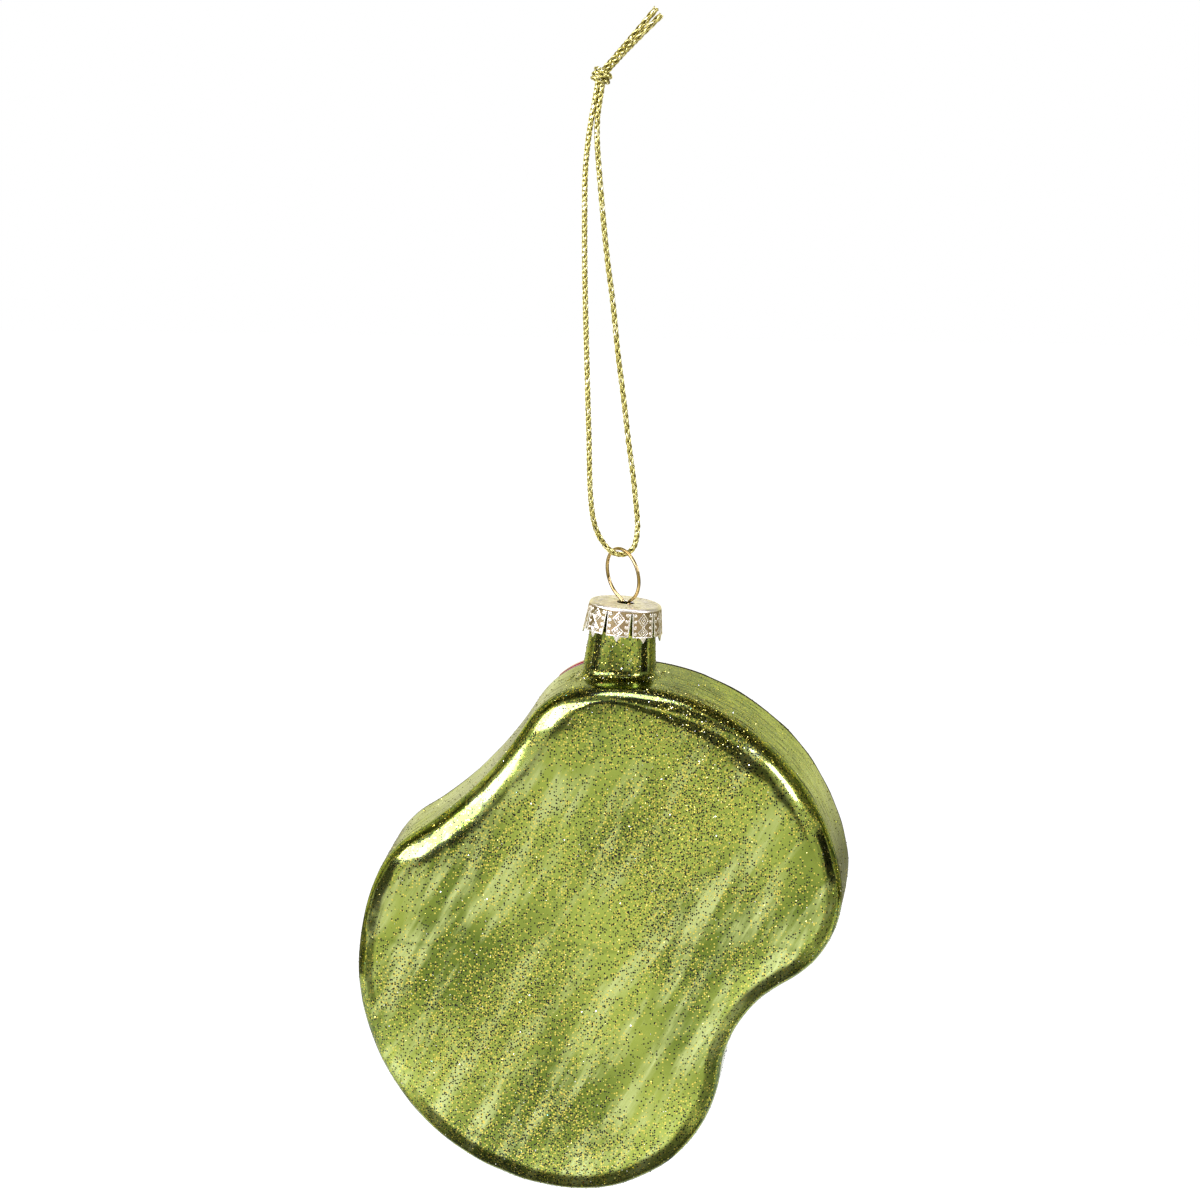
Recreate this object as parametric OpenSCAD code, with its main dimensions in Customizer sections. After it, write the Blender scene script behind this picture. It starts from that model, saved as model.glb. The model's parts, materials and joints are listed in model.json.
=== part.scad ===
// Putting green ornament: a kidney-shaped blown glass body with a sprung crown cap, hung on a cord loop.
// Millimetres, +Z up. The origin is the hanging point, inside the cord loop just under its knot.
// The flat back of the body faces -Y and its relief face, with the flag, faces +Y.

/* [Glass outline] */
// Right lobe, distance from the neck's axis to its centre
right_x = 24; // [20:0.5:28]
// Right lobe, depth of its centre below the cap's top
right_drop = 44; // [40:0.5:48]
// Right lobe, radius
right_r = 17; // [14:0.5:19]
// Top lobe, distance from the neck's axis to its centre
top_x = -1; // [-3:0.5:1]
// Top lobe, depth of its centre below the cap's top
top_drop = 26; // [24:0.5:28]
// Top lobe, radius
top_r = 14; // [12:0.5:16]
// Left lobe, distance from the neck's axis to its centre
left_x = -21.5; // [-24:0.5:-18]
// Left lobe, depth of its centre below the cap's top
left_drop = 52.5; // [49:0.5:56]
// Left lobe, radius
left_r = 15; // [13:0.5:18]
// Low lobe, distance from the neck's axis to its centre
low_x = 0.5; // [-3:0.5:4]
// Low lobe, depth of its centre below the cap's top
low_drop = 74.5; // [71:0.5:78]
// Low lobe, radius
low_r = 23.5; // [21:0.5:26]
// Crown arc from the right lobe over to the top lobe, radius
crown_r = 38; // [34:0.5:42]
// Hollow of the left waist, radius
left_waist_r = 57; // [45:0.5:70]
// Flank arc from the left lobe under to the low lobe, radius
flank_r = 38; // [35:0.5:42]
// Hollow of the right waist, radius
right_waist_r = 20.5; // [16:0.5:25]

/* [Glass wall] */
// Thickness of the body, back to front
body_t = 30; // [24:0.5:36]
// Radius of the rounded edge between a face and the side wall
edge_r = 5; // [3:0.25:7]
// Thickness of the blown glass
glass_t = 1; // [0.6:0.1:1.6]

/* [Neck] */
// Outer diameter of the neck
neck_d = 11; // [9:0.25:12]
// Bore of the neck
neck_bore = 9; // [7:0.25:9.5]
// Radius of the flare where the neck grows out of the body
neck_flare = 1.1; // [0.4:0.1:1.5]
// Outer diameter of the neck at its foot, below the cap's skirt
foot_d = 12; // [11:0.25:13]

/* [Crown cap] */
// Thickness of the cap's sheet
sheet_t = 0.25; // [0.2:0.05:0.4]
// Gap between the neck and the cap's skirt at its top
cap_gap = 0.25; // [0.15:0.05:0.5]
// Gap between the neck's rim and the underside of the cap
rim_gap = 0.1; // [0.05:0.05:0.3]
// Radius of the pressed edge round the cap's top
cap_edge_r = 0.5; // [0.3:0.05:0.8]
// How far the skirt flares out at the petals' ends
skirt_flare = 0.55; // [0.2:0.05:1]
// Number of petals round the skirt
petals = 9; // [6:1:14]
// Depth of the petals' square ends below the cap's top
petal_depth = 4.6; // [3.5:0.1:6]
// Length of the point on each petal
point_l = 0.9; // [0.4:0.1:1.4]
// Width of that point at its root
point_w = 1.2; // [0.8:0.1:2]
// Width of that point at its blunt end
point_end_w = 0.2; // [0.1:0.05:0.4]
// Width of the slit between petals at the top
slit_top_w = 0.22; // [0.15:0.01:0.4]
// Width of the slit between petals at their ends
slit_end_w = 0.65; // [0.4:0.05:1]
// Depth of the slits' upper ends below the cap's top
slit_start = 0.7; // [0.6:0.05:1.5]
// Turn of the first slit about the neck
slit_turn = -74; // [-90:1:-50]
// Diameter of the hole for the wire
cap_hole = 3; // [2.8:0.1:3.6]

/* [Hanger wire] */
// Diameter of the wire
wire_d = 0.6; // [0.45:0.05:0.8]
// Diameter of the eye, at the middle of the wire
eye_d = 8.6; // [7:0.1:8.8]
// Height of the eye's top above the cap, at the middle of the wire
eye_height = 9; // [8:0.25:11]
// Half the distance between the two legs where they pass the cap
pinch = 0.75; // [0.5:0.05:0.8]
// Length of the spring legs below the cap
leg_l = 12; // [9:0.5:15]
// Gap between a spring leg and the bore at its widest
leg_gap = 0.2; // [0.1:0.05:0.4]
// Length of the turned-in leg ends
toe_l = 1.8; // [1:0.1:3]

/* [Hanging] */
// Lean of the neck from the vertical, top towards +X
hang_lean = 5.5; // [0:0.5:9]
// Lean of the eye from the vertical, top towards -X
eye_lean = 5.5; // [0:0.5:8]
// Turn of the eye about the vertical, right side towards -Y
eye_turn = 48; // [30:1:70]
// Diameter of the cord
cord_d = 0.9; // [0.6:0.05:1.1]
// Gap between the eye and the cord that carries it
seat_gap = 0.2; // [0.1:0.05:0.3]
// Width of the knot
knot_w = 3.4; // [3:0.1:4.5]
// Height of the knot
knot_h = 2.6; // [2.4:0.1:3.4]

/* [Relief face] */
// Distance from the neck's axis to the flagstick
stick_x = 7; // [4:0.5:10]
// Diameter of the half-round flagstick
stick_d = 1.8; // [1.2:0.1:2.4]
// Depth of the flagstick's top below the cap's top
stick_top = 14; // [13.5:0.25:18]
// Length of the flag
flag_l = 17; // [12:0.5:18]
// Height of the flag
flag_h = 11; // [8:0.5:13]
// How far the flag stands out of the face
flag_t = 2.6; // [1:0.1:3]
// Depth of the flag's wave
flag_wave = 0.7; // [0:0.1:1.2]
// Distance that the flag keeps inside the body's outline
flag_inset = 0.5; // [0.3:0.1:3]
// Depth of the hole's centre below the cap's top
cup_drop = 60; // [54:0.5:64]
// Outer diameter of the hole's rim
cup_d = 12; // [9:0.5:15]
// Width of that rim
cup_rim = 1; // [0.6:0.1:1.6]
// How far the rim stands out of the face
cup_h = 1; // [0.6:0.1:1.6]
// Thickness of the dark floor inside the rim
cup_floor = 0.4; // [0.2:0.05:0.5]
// Distance from the neck's axis to the ball
ball_x = -13; // [-18:0.5:-8]
// Depth of the ball's centre below the cap's top
ball_drop = 72; // [66:0.5:76]
// Diameter of the ball
ball_d = 9; // [6:0.25:11]
// Gap between the flagstick and the pieces beside it
fit_gap = 0.05; // [0.02:0.01:0.2]

/* [Hidden] */
$fn = 96;
slack = 1;

// Route of the cord's middle, in X and Z: down the left strand, under the eye's top and up the right strand
loop_route = [[-0.4, 1.2], [-0.9, -2], [-1.4, -5], [-2, -9], [-2.4, -14], [-2.5, -21], [-2.5, -28],
              [-2.4, -35], [-2.2, -43], [-2, -51], [-1.8, -58], [-1.7, -64], [-1.4, -69], [-0.7, -72.5],
              [0.6, -75], [2, -76.4], [3.4, -76.8], [4.8, -76.4], [5.8, -75], [6.2, -72], [5.9, -68],
              [5.5, -64], [4.7, -58], [3.9, -51], [2.9, -43], [2.1, -35], [1.2, -28], [0.5, -21],
              [-0.1, -14], [-0.4, -9], [-0.3, -5], [0.1, -2], [0.7, 1.2]];
bend_low = [3.4, 0, -76.8];
tail_routes = [[[0.2, 2.6], [2, 5], [4.4, 8], [6.9, 10.6], [9.2, 12.8]],
               [[1, 2], [2.9, 4.45], [5.3, 7.3], [7.8, 9.9], [10, 11.7]]];
knot_at = [0.3, 0, 1.8];
cord_sides = 8;
cord_steps = 2;
facet_l = 2.7;
edge_steps = 4;
wire_sides = 10;

// The neck's own frame hangs from the eye, which rides on the cord's bend
eye_axis = [-sin(eye_lean), 0, cos(eye_lean)];
neck_axis = [sin(hang_lean), 0, cos(hang_lean)];
eye_side = [cos(eye_turn), -sin(eye_turn), 0];
eye_top = bend_low + [0, 0, cord_d / 2 + seat_gap + wire_d / 2];
cap_top = eye_top - eye_height * eye_axis;

// Outline as a closed chain: four lobes, each joined to the next by an arc that bulges (+) or hollows (-)
lobes = [[right_x, -right_drop, right_r], [top_x, -top_drop, top_r],
         [left_x, -left_drop, left_r], [low_x, -low_drop, low_r]];
links = [crown_r, -left_waist_r, flank_r, -right_waist_r];
count = len(lobes);
function mid(lobe) = [lobe[0], lobe[1]];
function link_mid(i) =
    let (a = lobes[i], b = lobes[(i + 1) % count], r = links[i], d = mid(b) - mid(a), l = norm(d), u = d / l,
         ra = abs(r - a[2]), rb = abs(r - b[2]), t = (ra * ra - rb * rb + l * l) / (2 * l),
         h = sqrt(ra * ra - t * t) * sign(r))
    mid(a) + u * t + [-u[1], u[0]] * h;
function heading(v) = atan2(v[1], v[0]);
function past(a, from) = a < from ? past(a + 360, from) : a;
// Direction of the outward normal where lobe k meets link i
function meet(k, i) = heading((mid(lobes[k]) - link_mid(i)) * sign(links[i]));
// Every arc as [centre, signed radius, start, sweep], anticlockwise round the outline
function lobe_arc(k) =
    let (a = meet(k, (k + count - 1) % count), b = past(meet(k, k), a))
    [mid(lobes[k]), lobes[k][2], a, b - a];
function link_arc(i) =
    let (turn = links[i] > 0 ? 0 : 180, first = meet(i, i) + turn, last = meet((i + 1) % count, i) + turn)
    links[i] > 0 ? [link_mid(i), links[i], first, past(last, first) - first]
                 : [link_mid(i), links[i], first, last - past(first, last)];
arcs = [for (i = [0 : count - 1]) each [lobe_arc(i), link_arc(i)]];
function arc_point(arc, share, inset) =
    let (a = arc[2] + arc[3] * share, r = abs(arc[1]) - sign(arc[1]) * inset) arc[0] + r * [cos(a), sin(a)];
function arc_steps(arc) = ceil(abs(arc[1] * arc[3]) * PI / 180 / facet_l);
function outline(inset) =
    [for (arc = arcs) let (n = arc_steps(arc)) for (k = [0 : n - 1]) arc_point(arc, k / n, inset)];

// Where the body's top wall crosses the neck's axis
crown_mid = link_mid(0);
body_top = crown_mid[1] + sqrt(crown_r * crown_r - crown_mid[0] * crown_mid[0]);
// Middle of the fans that close the body's faces
hub = (mid(lobes[0]) + mid(lobes[1]) + mid(lobes[2]) + mid(lobes[3])) / count;

// Cap and neck sizes
neck_r = neck_d / 2;
foot_r = foot_d / 2;
neck_top = -sheet_t - rim_gap;
neck_root = body_top - edge_r;
cap_r = neck_r + cap_gap + sheet_t;
petal_end = petal_depth + point_l;
petal_pitch = 360 / petals;

// Wire path in its own plane, as [sideways, up] from the cap's hole
eye_r = eye_d / 2;
eye_mid = eye_height - eye_r;
eye_reach = norm([pinch, eye_mid]);
eye_start = acos(eye_r / eye_reach) - atan2(eye_mid, pinch);
eye_steps = 36;
leg_s = neck_bore / 2 - leg_gap - wire_d / 2;
toe_s = leg_s - toe_l / 2;
half_eye = [for (i = [0 : eye_steps / 2])
    let (a = eye_start + (90 - eye_start) * i / (eye_steps / 2)) [eye_r * cos(a), eye_mid + eye_r * sin(a)]];
half_leg = [[toe_s, -leg_l - toe_l], [leg_s, -leg_l], [(leg_s + pinch) / 2, -leg_l / 2],
            [pinch + wire_d / 2, -wire_d], [pinch, 0], [pinch + wire_d / 2, wire_d / 2]];
half_wire = concat(half_leg, half_eye);
function mirrored(path) = [for (i = [len(path) - 2 : -1 : 0]) [-path[i][0], path[i][1]]];
function wire_point(p) = cap_top + p[0] * eye_side + p[1] * (p[1] > 0 ? eye_axis : neck_axis);

// Smooth curve through a route's points
function at(route, i) = route[max(0, min(len(route) - 1, i))];
function curve(route, i, t) =
    let (a = at(route, i - 1), b = at(route, i), c = at(route, i + 1), d = at(route, i + 2))
    0.5 * (2 * b + (c - a) * t + (2 * a - 5 * b + 4 * c - d) * t * t + (3 * b - a - 3 * c + d) * t * t * t);
function smooth(route, steps) =
    concat([for (i = [0 : len(route) - 2], k = [0 : steps - 1]) curve(route, i, k / steps)],
           [route[len(route) - 1]]);
function in_space(route) = [for (p = route) [p[0], 0, p[1]]];

// Round tube swept along a path: one ring of points at each place, square to the path there
function unit(v) = v / norm(v);
module tube(path, d, side, sides) {
    n = len(path);
    points = [for (i = [0 : n - 1])
        let (t = unit(at(path, i + 1) - at(path, i - 1)), u = unit(cross(side, t)), v = cross(t, u))
        for (k = [0 : sides - 1]) path[i] + d / 2 * (cos(360 * k / sides) * u + sin(360 * k / sides) * v)];
    walls = [for (i = [0 : n - 2], k = [0 : sides - 1])
        let (a = i * sides + k, b = i * sides + (k + 1) % sides)
        each [[a, a + sides, b], [b, a + sides, b + sides]]];
    first = [for (k = [1 : sides - 2]) [0, k, k + 1]];
    last = [for (k = [1 : sides - 2]) let (o = (n - 1) * sides) [o, o + k + 1, o + k]];
    polyhedron(points, concat(walls, first, last));
}

// From the neck's own frame, cap top at its origin, to the hung ornament
module as_hung() {
    translate(cap_top) rotate([0, hang_lean, 0]) children();
}

// Places a drawing on the relief face, growing outwards
module on_front(x, drop) {
    translate([x, body_t / 2, -drop]) rotate([-90, 0, 0]) mirror([0, 1, 0]) children();
}

// Closed skin of the kidney body with rounded edges, smaller all round by inset: one ring of outline points
// at each step across the thickness, the back and front faces closed by a fan
module skin(inset) {
    r = edge_r - inset;
    flat = body_t / 2 - edge_r;
    rings = [for (side = [-1, 1], i = [0 : edge_steps])
        let (a = 90 * i / edge_steps - (side < 0 ? 90 : 0))
        [inset + r * (1 - cos(a)), side * flat + r * sin(a)]];
    n = len(outline(0));
    end = len(rings) * n;
    points = concat([for (ring = rings, p = outline(ring[0])) [p[0], ring[1], p[1]]],
                    [for (side = [-1, 1]) [hub[0], side * (flat + r), hub[1]]]);
    walls = [for (i = [0 : len(rings) - 2], k = [0 : n - 1])
        let (a = i * n + k, b = i * n + (k + 1) % n) each [[a, b, b + n], [a, b + n, a + n]]];
    back = [for (k = [0 : n - 1]) [end, (k + 1) % n, k]];
    front = [for (k = [0 : n - 1]) [end + 1, end - n + k, end - n + (k + 1) % n]];
    polyhedron(points, concat(walls, back, front));
}

module neck_blank() {
    lip = (neck_d - neck_bore) / 4;
    flare_top = body_top + neck_flare;
    rotate_extrude() {
        polygon([[0, neck_root], [foot_r, neck_root], [foot_r, flare_top], [neck_r, -petal_end],
                 [neck_r, neck_top - lip], [0, neck_top - lip]]);
        translate([0, neck_top - 2 * lip]) square([neck_r - lip, 2 * lip]);
        translate([neck_r - lip, neck_top - lip]) circle(lip);
        difference() {
            translate([0, neck_root]) square([foot_r + neck_flare, flare_top - neck_root]);
            translate([foot_r + neck_flare, flare_top]) circle(neck_flare);
        }
    }
}

module glass_body() {
    color([0.47, 0.56, 0.16]) as_hung() difference() {
        union() {
            skin(0);
            neck_blank();
        }
        skin(glass_t);
        translate([0, 0, neck_root - glass_t])
            cylinder(d = neck_bore, h = neck_top - neck_root + 2 * glass_t);
    }
}

// Pressed sheet of the cap before it is slit: a flat top, a rounded edge and a flaring skirt
module cap_sheet() {
    steps = 4;
    edge_mid = [cap_r - cap_edge_r, -cap_edge_r];
    turns = [for (i = [0 : steps]) let (a = 90 - 90 * i / steps) [cos(a), sin(a)]];
    outer = concat([[cap_hole / 2, 0]], [for (t = turns) edge_mid + cap_edge_r * t],
                   [[cap_r + skirt_flare, -petal_end]]);
    inner = concat([[cap_hole / 2, -sheet_t]], [for (t = turns) edge_mid + (cap_edge_r - sheet_t) * t],
                   [[cap_r + skirt_flare - sheet_t, -petal_end]]);
    rotate_extrude() polygon(concat(outer, [for (i = [len(inner) - 1 : -1 : 0]) inner[i]]));
}

// What is cut away between two petals: the slit and the corners beside their points, on past the skirt's end
module petal_cut() {
    inner_r = cap_r + skirt_flare - sheet_t;
    half = inner_r * sin(petal_pitch / 2) - point_end_w / 2;
    taper = (point_w - point_end_w) / 2 / point_l;
    run_on = point_l / 3;
    outline = [[slit_top_w / 2, -slit_start], [slit_end_w / 2, -petal_depth],
               [half - taper * point_l, -petal_depth], [half + taper * run_on, -petal_end - run_on]];
    rotate([90, 0, 90]) translate([0, 0, neck_r]) linear_extrude(cap_r + skirt_flare + slack - neck_r)
        polygon(concat(outline, [for (i = [len(outline) - 1 : -1 : 0]) [-outline[i][0], outline[i][1]]]));
}

module crown_cap() {
    color([0.84, 0.77, 0.55]) as_hung() difference() {
        cap_sheet();
        for (i = [0 : petals - 1]) rotate(slit_turn + i * petal_pitch) petal_cut();
    }
}

module hanger_wire() {
    path = [for (p = concat(half_wire, mirrored(half_wire))) wire_point(p)];
    color([0.78, 0.62, 0.28]) tube(path, wire_d, cross(eye_side, eye_axis), wire_sides);
}

module cord_loop() {
    color([0.78, 0.7, 0.26]) tube(in_space(smooth(loop_route, cord_steps)), cord_d, [0, 1, 0], cord_sides);
}

// Overhand knot drawn tight, as a barrel
module cord_knot() {
    round_r = knot_h / 2;
    color([0.74, 0.66, 0.22]) translate(knot_at) rotate_extrude() intersection() {
        union() {
            translate([knot_w / 2 - round_r, 0]) circle(round_r);
            translate([0, -round_r]) square([knot_w / 2 - round_r, knot_h]);
        }
        translate([0, -round_r]) square([knot_w, knot_h]);
    }
}

module cord_tails() {
    color([0.78, 0.7, 0.26]) for (route = tail_routes)
        tube(in_space(smooth(route, cord_steps)), cord_d, [0, 1, 0], cord_sides);
}

module flag() {
    steps = 24;
    top = stick_top + flag_inset;
    function wave(x) = flag_wave * sin(360 * x / flag_l);
    along = [for (i = [0 : steps]) -flag_l * i / steps];
    edge = concat([for (x = along) [x, wave(x)]],
                  [for (i = [steps : -1 : 0]) [along[i], wave(along[i]) - flag_h]]);
    color([0.62, 0.1, 0.14]) as_hung() difference() {
        on_front(0, 0) translate([0, 0, -edge_r]) linear_extrude(edge_r + flag_t) intersection() {
            translate([stick_x - stick_d / 2 - fit_gap, -top]) polygon(edge);
            translate(mid(lobes[1])) circle(top_r - flag_inset);
        }
        skin(0);
    }
}

module flagstick() {
    color([0.93, 0.92, 0.88]) as_hung() on_front(stick_x, stick_top) rotate([90, 0, 0])
        rotate_extrude(angle = 180) square([stick_d / 2, cup_drop - stick_top]);
}

// Dark hole with a raised rim, slotted for the flagstick that stands in it
module hole_cup() {
    slot_w = stick_d + 2 * fit_gap;
    color([0.1, 0.1, 0.1]) as_hung() on_front(stick_x, cup_drop) difference() {
        rotate_extrude() {
            square([cup_d / 2 - cup_rim / 2, cup_floor]);
            translate([cup_d / 2 - cup_rim, 0]) square([cup_rim, cup_h - cup_rim / 2]);
            translate([cup_d / 2 - cup_rim / 2, cup_h - cup_rim / 2]) circle(cup_rim / 2);
        }
        translate([-slot_w / 2, -fit_gap, -slack]) cube([slot_w, cup_d, cup_h + 2 * slack]);
    }
}

module golf_ball() {
    color([0.95, 0.95, 0.93]) as_hung() on_front(ball_x, ball_drop) rotate_extrude() intersection() {
        circle(ball_d / 2);
        square(ball_d);
    }
}

glass_body();
crown_cap();
hanger_wire();
cord_loop();
cord_knot();
cord_tails();
flag();
flagstick();
hole_cup();
golf_ball();
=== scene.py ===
import json
import math

import bmesh
import bpy
import numpy as np
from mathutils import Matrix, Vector, noise


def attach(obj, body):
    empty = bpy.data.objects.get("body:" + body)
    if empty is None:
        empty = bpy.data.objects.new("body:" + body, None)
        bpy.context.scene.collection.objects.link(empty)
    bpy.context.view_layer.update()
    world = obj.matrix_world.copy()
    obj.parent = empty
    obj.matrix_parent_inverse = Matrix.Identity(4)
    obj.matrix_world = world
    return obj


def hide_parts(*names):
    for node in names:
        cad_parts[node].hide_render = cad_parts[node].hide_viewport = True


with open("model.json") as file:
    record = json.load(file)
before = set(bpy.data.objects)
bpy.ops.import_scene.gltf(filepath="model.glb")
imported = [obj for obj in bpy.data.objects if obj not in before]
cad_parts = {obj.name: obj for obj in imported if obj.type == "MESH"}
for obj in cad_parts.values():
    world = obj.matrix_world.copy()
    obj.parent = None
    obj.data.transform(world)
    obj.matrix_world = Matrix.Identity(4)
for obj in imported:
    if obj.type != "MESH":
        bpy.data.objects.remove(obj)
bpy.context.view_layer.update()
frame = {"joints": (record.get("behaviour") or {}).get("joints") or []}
scene = bpy.context.scene
rng = np.random.default_rng(11)
mm = 0.001    # every length below is in millimetres until a mesh is made

# where the CAD hangs the pieces
joints = {j["name"]: j for j in frame["joints"]}
capTop = np.array(joints["cap_turn"]["pos_m"]) / mm
neckAxis = np.array(joints["cap_turn"]["axis"], float)
neckAcross = np.array([neckAxis[2], 0, -neckAxis[0]])
yAxis = np.array([0.0, 1.0, 0.0])


def asHung(points):
    # from the neck's own frame, with the cap's top at its origin, to the hung ornament
    p = np.asarray(points, float).reshape(-1, 3)
    return capTop + p[:, :1] * neckAcross + p[:, 1:2] * yAxis + p[:, 2:] * neckAxis


def srgb(r, g, b):
    # a colour as it looks on screen, 0 to 255, as Blender's linear values
    def linear(c):
        c = c / 255
        return c / 12.92 if c < 0.04045 else ((c + 0.055) / 1.055) ** 2.4
    return (linear(r), linear(g), linear(b), 1.0)


def smoothStep(x, low, high):
    t = np.clip((np.asarray(x, float) - low) / (high - low), 0, 1)
    return t * t * (3 - 2 * t)


def unit(v):
    return v / np.maximum(np.linalg.norm(v, axis=-1, keepdims=True), 1e-12)


def direction(azimuth, elevation):
    # in degrees, seen from the object: azimuth 0 is the side of the flat back, and grows to its right
    az, el = np.radians(azimuth), np.radians(elevation)
    return np.stack([np.sin(az) * np.cos(el), -np.cos(az) * np.cos(el), np.sin(el)], axis=-1)


def gridFaces(rows, columns, start=0, closed=False):
    # quads of a grid whose points run along each row in turn
    faces = []
    for i in range(rows - 1):
        for j in range(columns if closed else columns - 1):
            a = start + i * columns + j
            b = start + i * columns + (j + 1) % columns
            faces.append((a, b, b + columns, a + columns))
    return faces


def tubeFaces(rows, sides, start=0):
    # closed rows of points as a tube with both ends capped
    last = start + (rows - 1) * sides
    caps = [tuple(range(start, start + sides)), tuple(range(last, last + sides))]
    return gridFaces(rows, sides, start, closed=True) + caps


def newMesh(name, points, faces, material, marks=None):
    # marks are numbers kept on the points for the material to read
    mesh = bpy.data.meshes.new(name)
    mesh.from_pydata((np.asarray(points) * mm).tolist(), [], faces)
    for key, values in (marks or {}).items():
        mesh.attributes.new(key, "FLOAT", "POINT").data.foreach_set("value", np.asarray(values, np.float32))
    mesh.materials.append(material)
    return mesh


def addObject(name, data):
    made = bpy.data.objects.new(name, data)
    scene.collection.objects.link(made)
    return made


def makePiece(name, points, faces, body, material, replaced=(), smooth=True, marks=None):
    mesh = newMesh(name, points, faces, material, marks)
    bm = bmesh.new()
    bm.from_mesh(mesh)
    bmesh.ops.recalc_face_normals(bm, faces=bm.faces)
    bm.to_mesh(mesh)
    bm.free()
    mesh.polygons.foreach_set("use_smooth", [smooth] * len(mesh.polygons))
    piece = addObject(name, mesh)
    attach(piece, body)
    if replaced:
        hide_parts(*replaced)
    return piece


# Materials

def plug(tree, socket, value):
    # a link where the value comes from a node, and otherwise the socket's own value
    if isinstance(value, bpy.types.NodeSocket):
        tree.links.new(value, socket)
    else:
        socket.default_value = value


def feed(tree, shader, **sockets):
    for key, value in sockets.items():
        plug(tree, shader.inputs[key.replace("_", " ")], value)


def addNode(tree, kind, inputs=None, **settings):
    made = tree.nodes.new(kind)
    for key, value in settings.items():
        setattr(made, key, value)
    for key, value in (inputs or {}).items():
        plug(tree, made.inputs[key], value)
    return made


def newMaterial(name, **constants):
    # a Principled material; constants go straight onto the shader's own sockets
    material = bpy.data.materials.new(name)
    material.use_nodes = True
    tree = material.node_tree
    shader = tree.nodes["Principled BSDF"]
    feed(tree, shader, **constants)
    return material, tree, shader


def objectPlace(tree):
    return addNode(tree, "ShaderNodeTexCoord").outputs["Object"]


def stored(tree, key):
    return addNode(tree, "ShaderNodeAttribute", attribute_name=key).outputs["Fac"]


def spotNoise(tree, size, detail=2.0, roughness=0.5, turn=0.0, at=(0, 0, 0)):
    # noise with blobs of about size mm, one length or three along the axes after a turn about Y
    mapped = addNode(tree, "ShaderNodeMapping",
                     {"Vector": objectPlace(tree), "Scale": (np.broadcast_to(size, 3) * mm).tolist(),
                      "Rotation": (0, math.radians(turn), 0), "Location": [a * mm for a in at]},
                     vector_type="TEXTURE")
    return addNode(tree, "ShaderNodeTexNoise", {"Vector": mapped.outputs[0], "Scale": 1.0, "Detail": detail,
                                                "Roughness": roughness}).outputs["Fac"]


def ranged(tree, value, fromLow, fromHigh, toLow=0.0, toHigh=1.0):
    return addNode(tree, "ShaderNodeMapRange", {"Value": value, "From Min": fromLow, "From Max": fromHigh,
                                                "To Min": toLow, "To Max": toHigh}).outputs["Result"]


def spots(tree, look, key):
    # one noise of a look, over its own range
    return ranged(tree, spotNoise(tree, *look[key]), *look[key + "Range"])


def rangedMm(tree, value, fromLow, fromHigh, toLow=0.0, toHigh=1.0):
    # the same for a length or place, with its limits in millimetres
    return ranged(tree, value, fromLow * mm, fromHigh * mm, toLow, toHigh)


def blendColour(tree, factor, a, b):
    return addNode(tree, "ShaderNodeMix", {0: factor, 6: a, 7: b}, data_type="RGBA").outputs[2]


def maths(tree, operation, a, b=0.0):
    return addNode(tree, "ShaderNodeMath", {0: a, 1: b}, operation=operation).outputs[0]


def times(tree, first, *others):
    for other in others:
        first = maths(tree, "MULTIPLY", first, other)
    return first


def band(tree, value, rise, fall):
    # 1 between two soft limits, each given as where it is 0 and where it is 1
    return times(tree, rangedMm(tree, value, *rise), rangedMm(tree, value, *fall))


def addBump(tree, shader, height, distance, strength):
    bump = addNode(tree, "ShaderNodeBump",
                   {"Height": height, "Distance": distance * mm, "Strength": strength})
    feed(tree, shader, Normal=bump.outputs[0])


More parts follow.
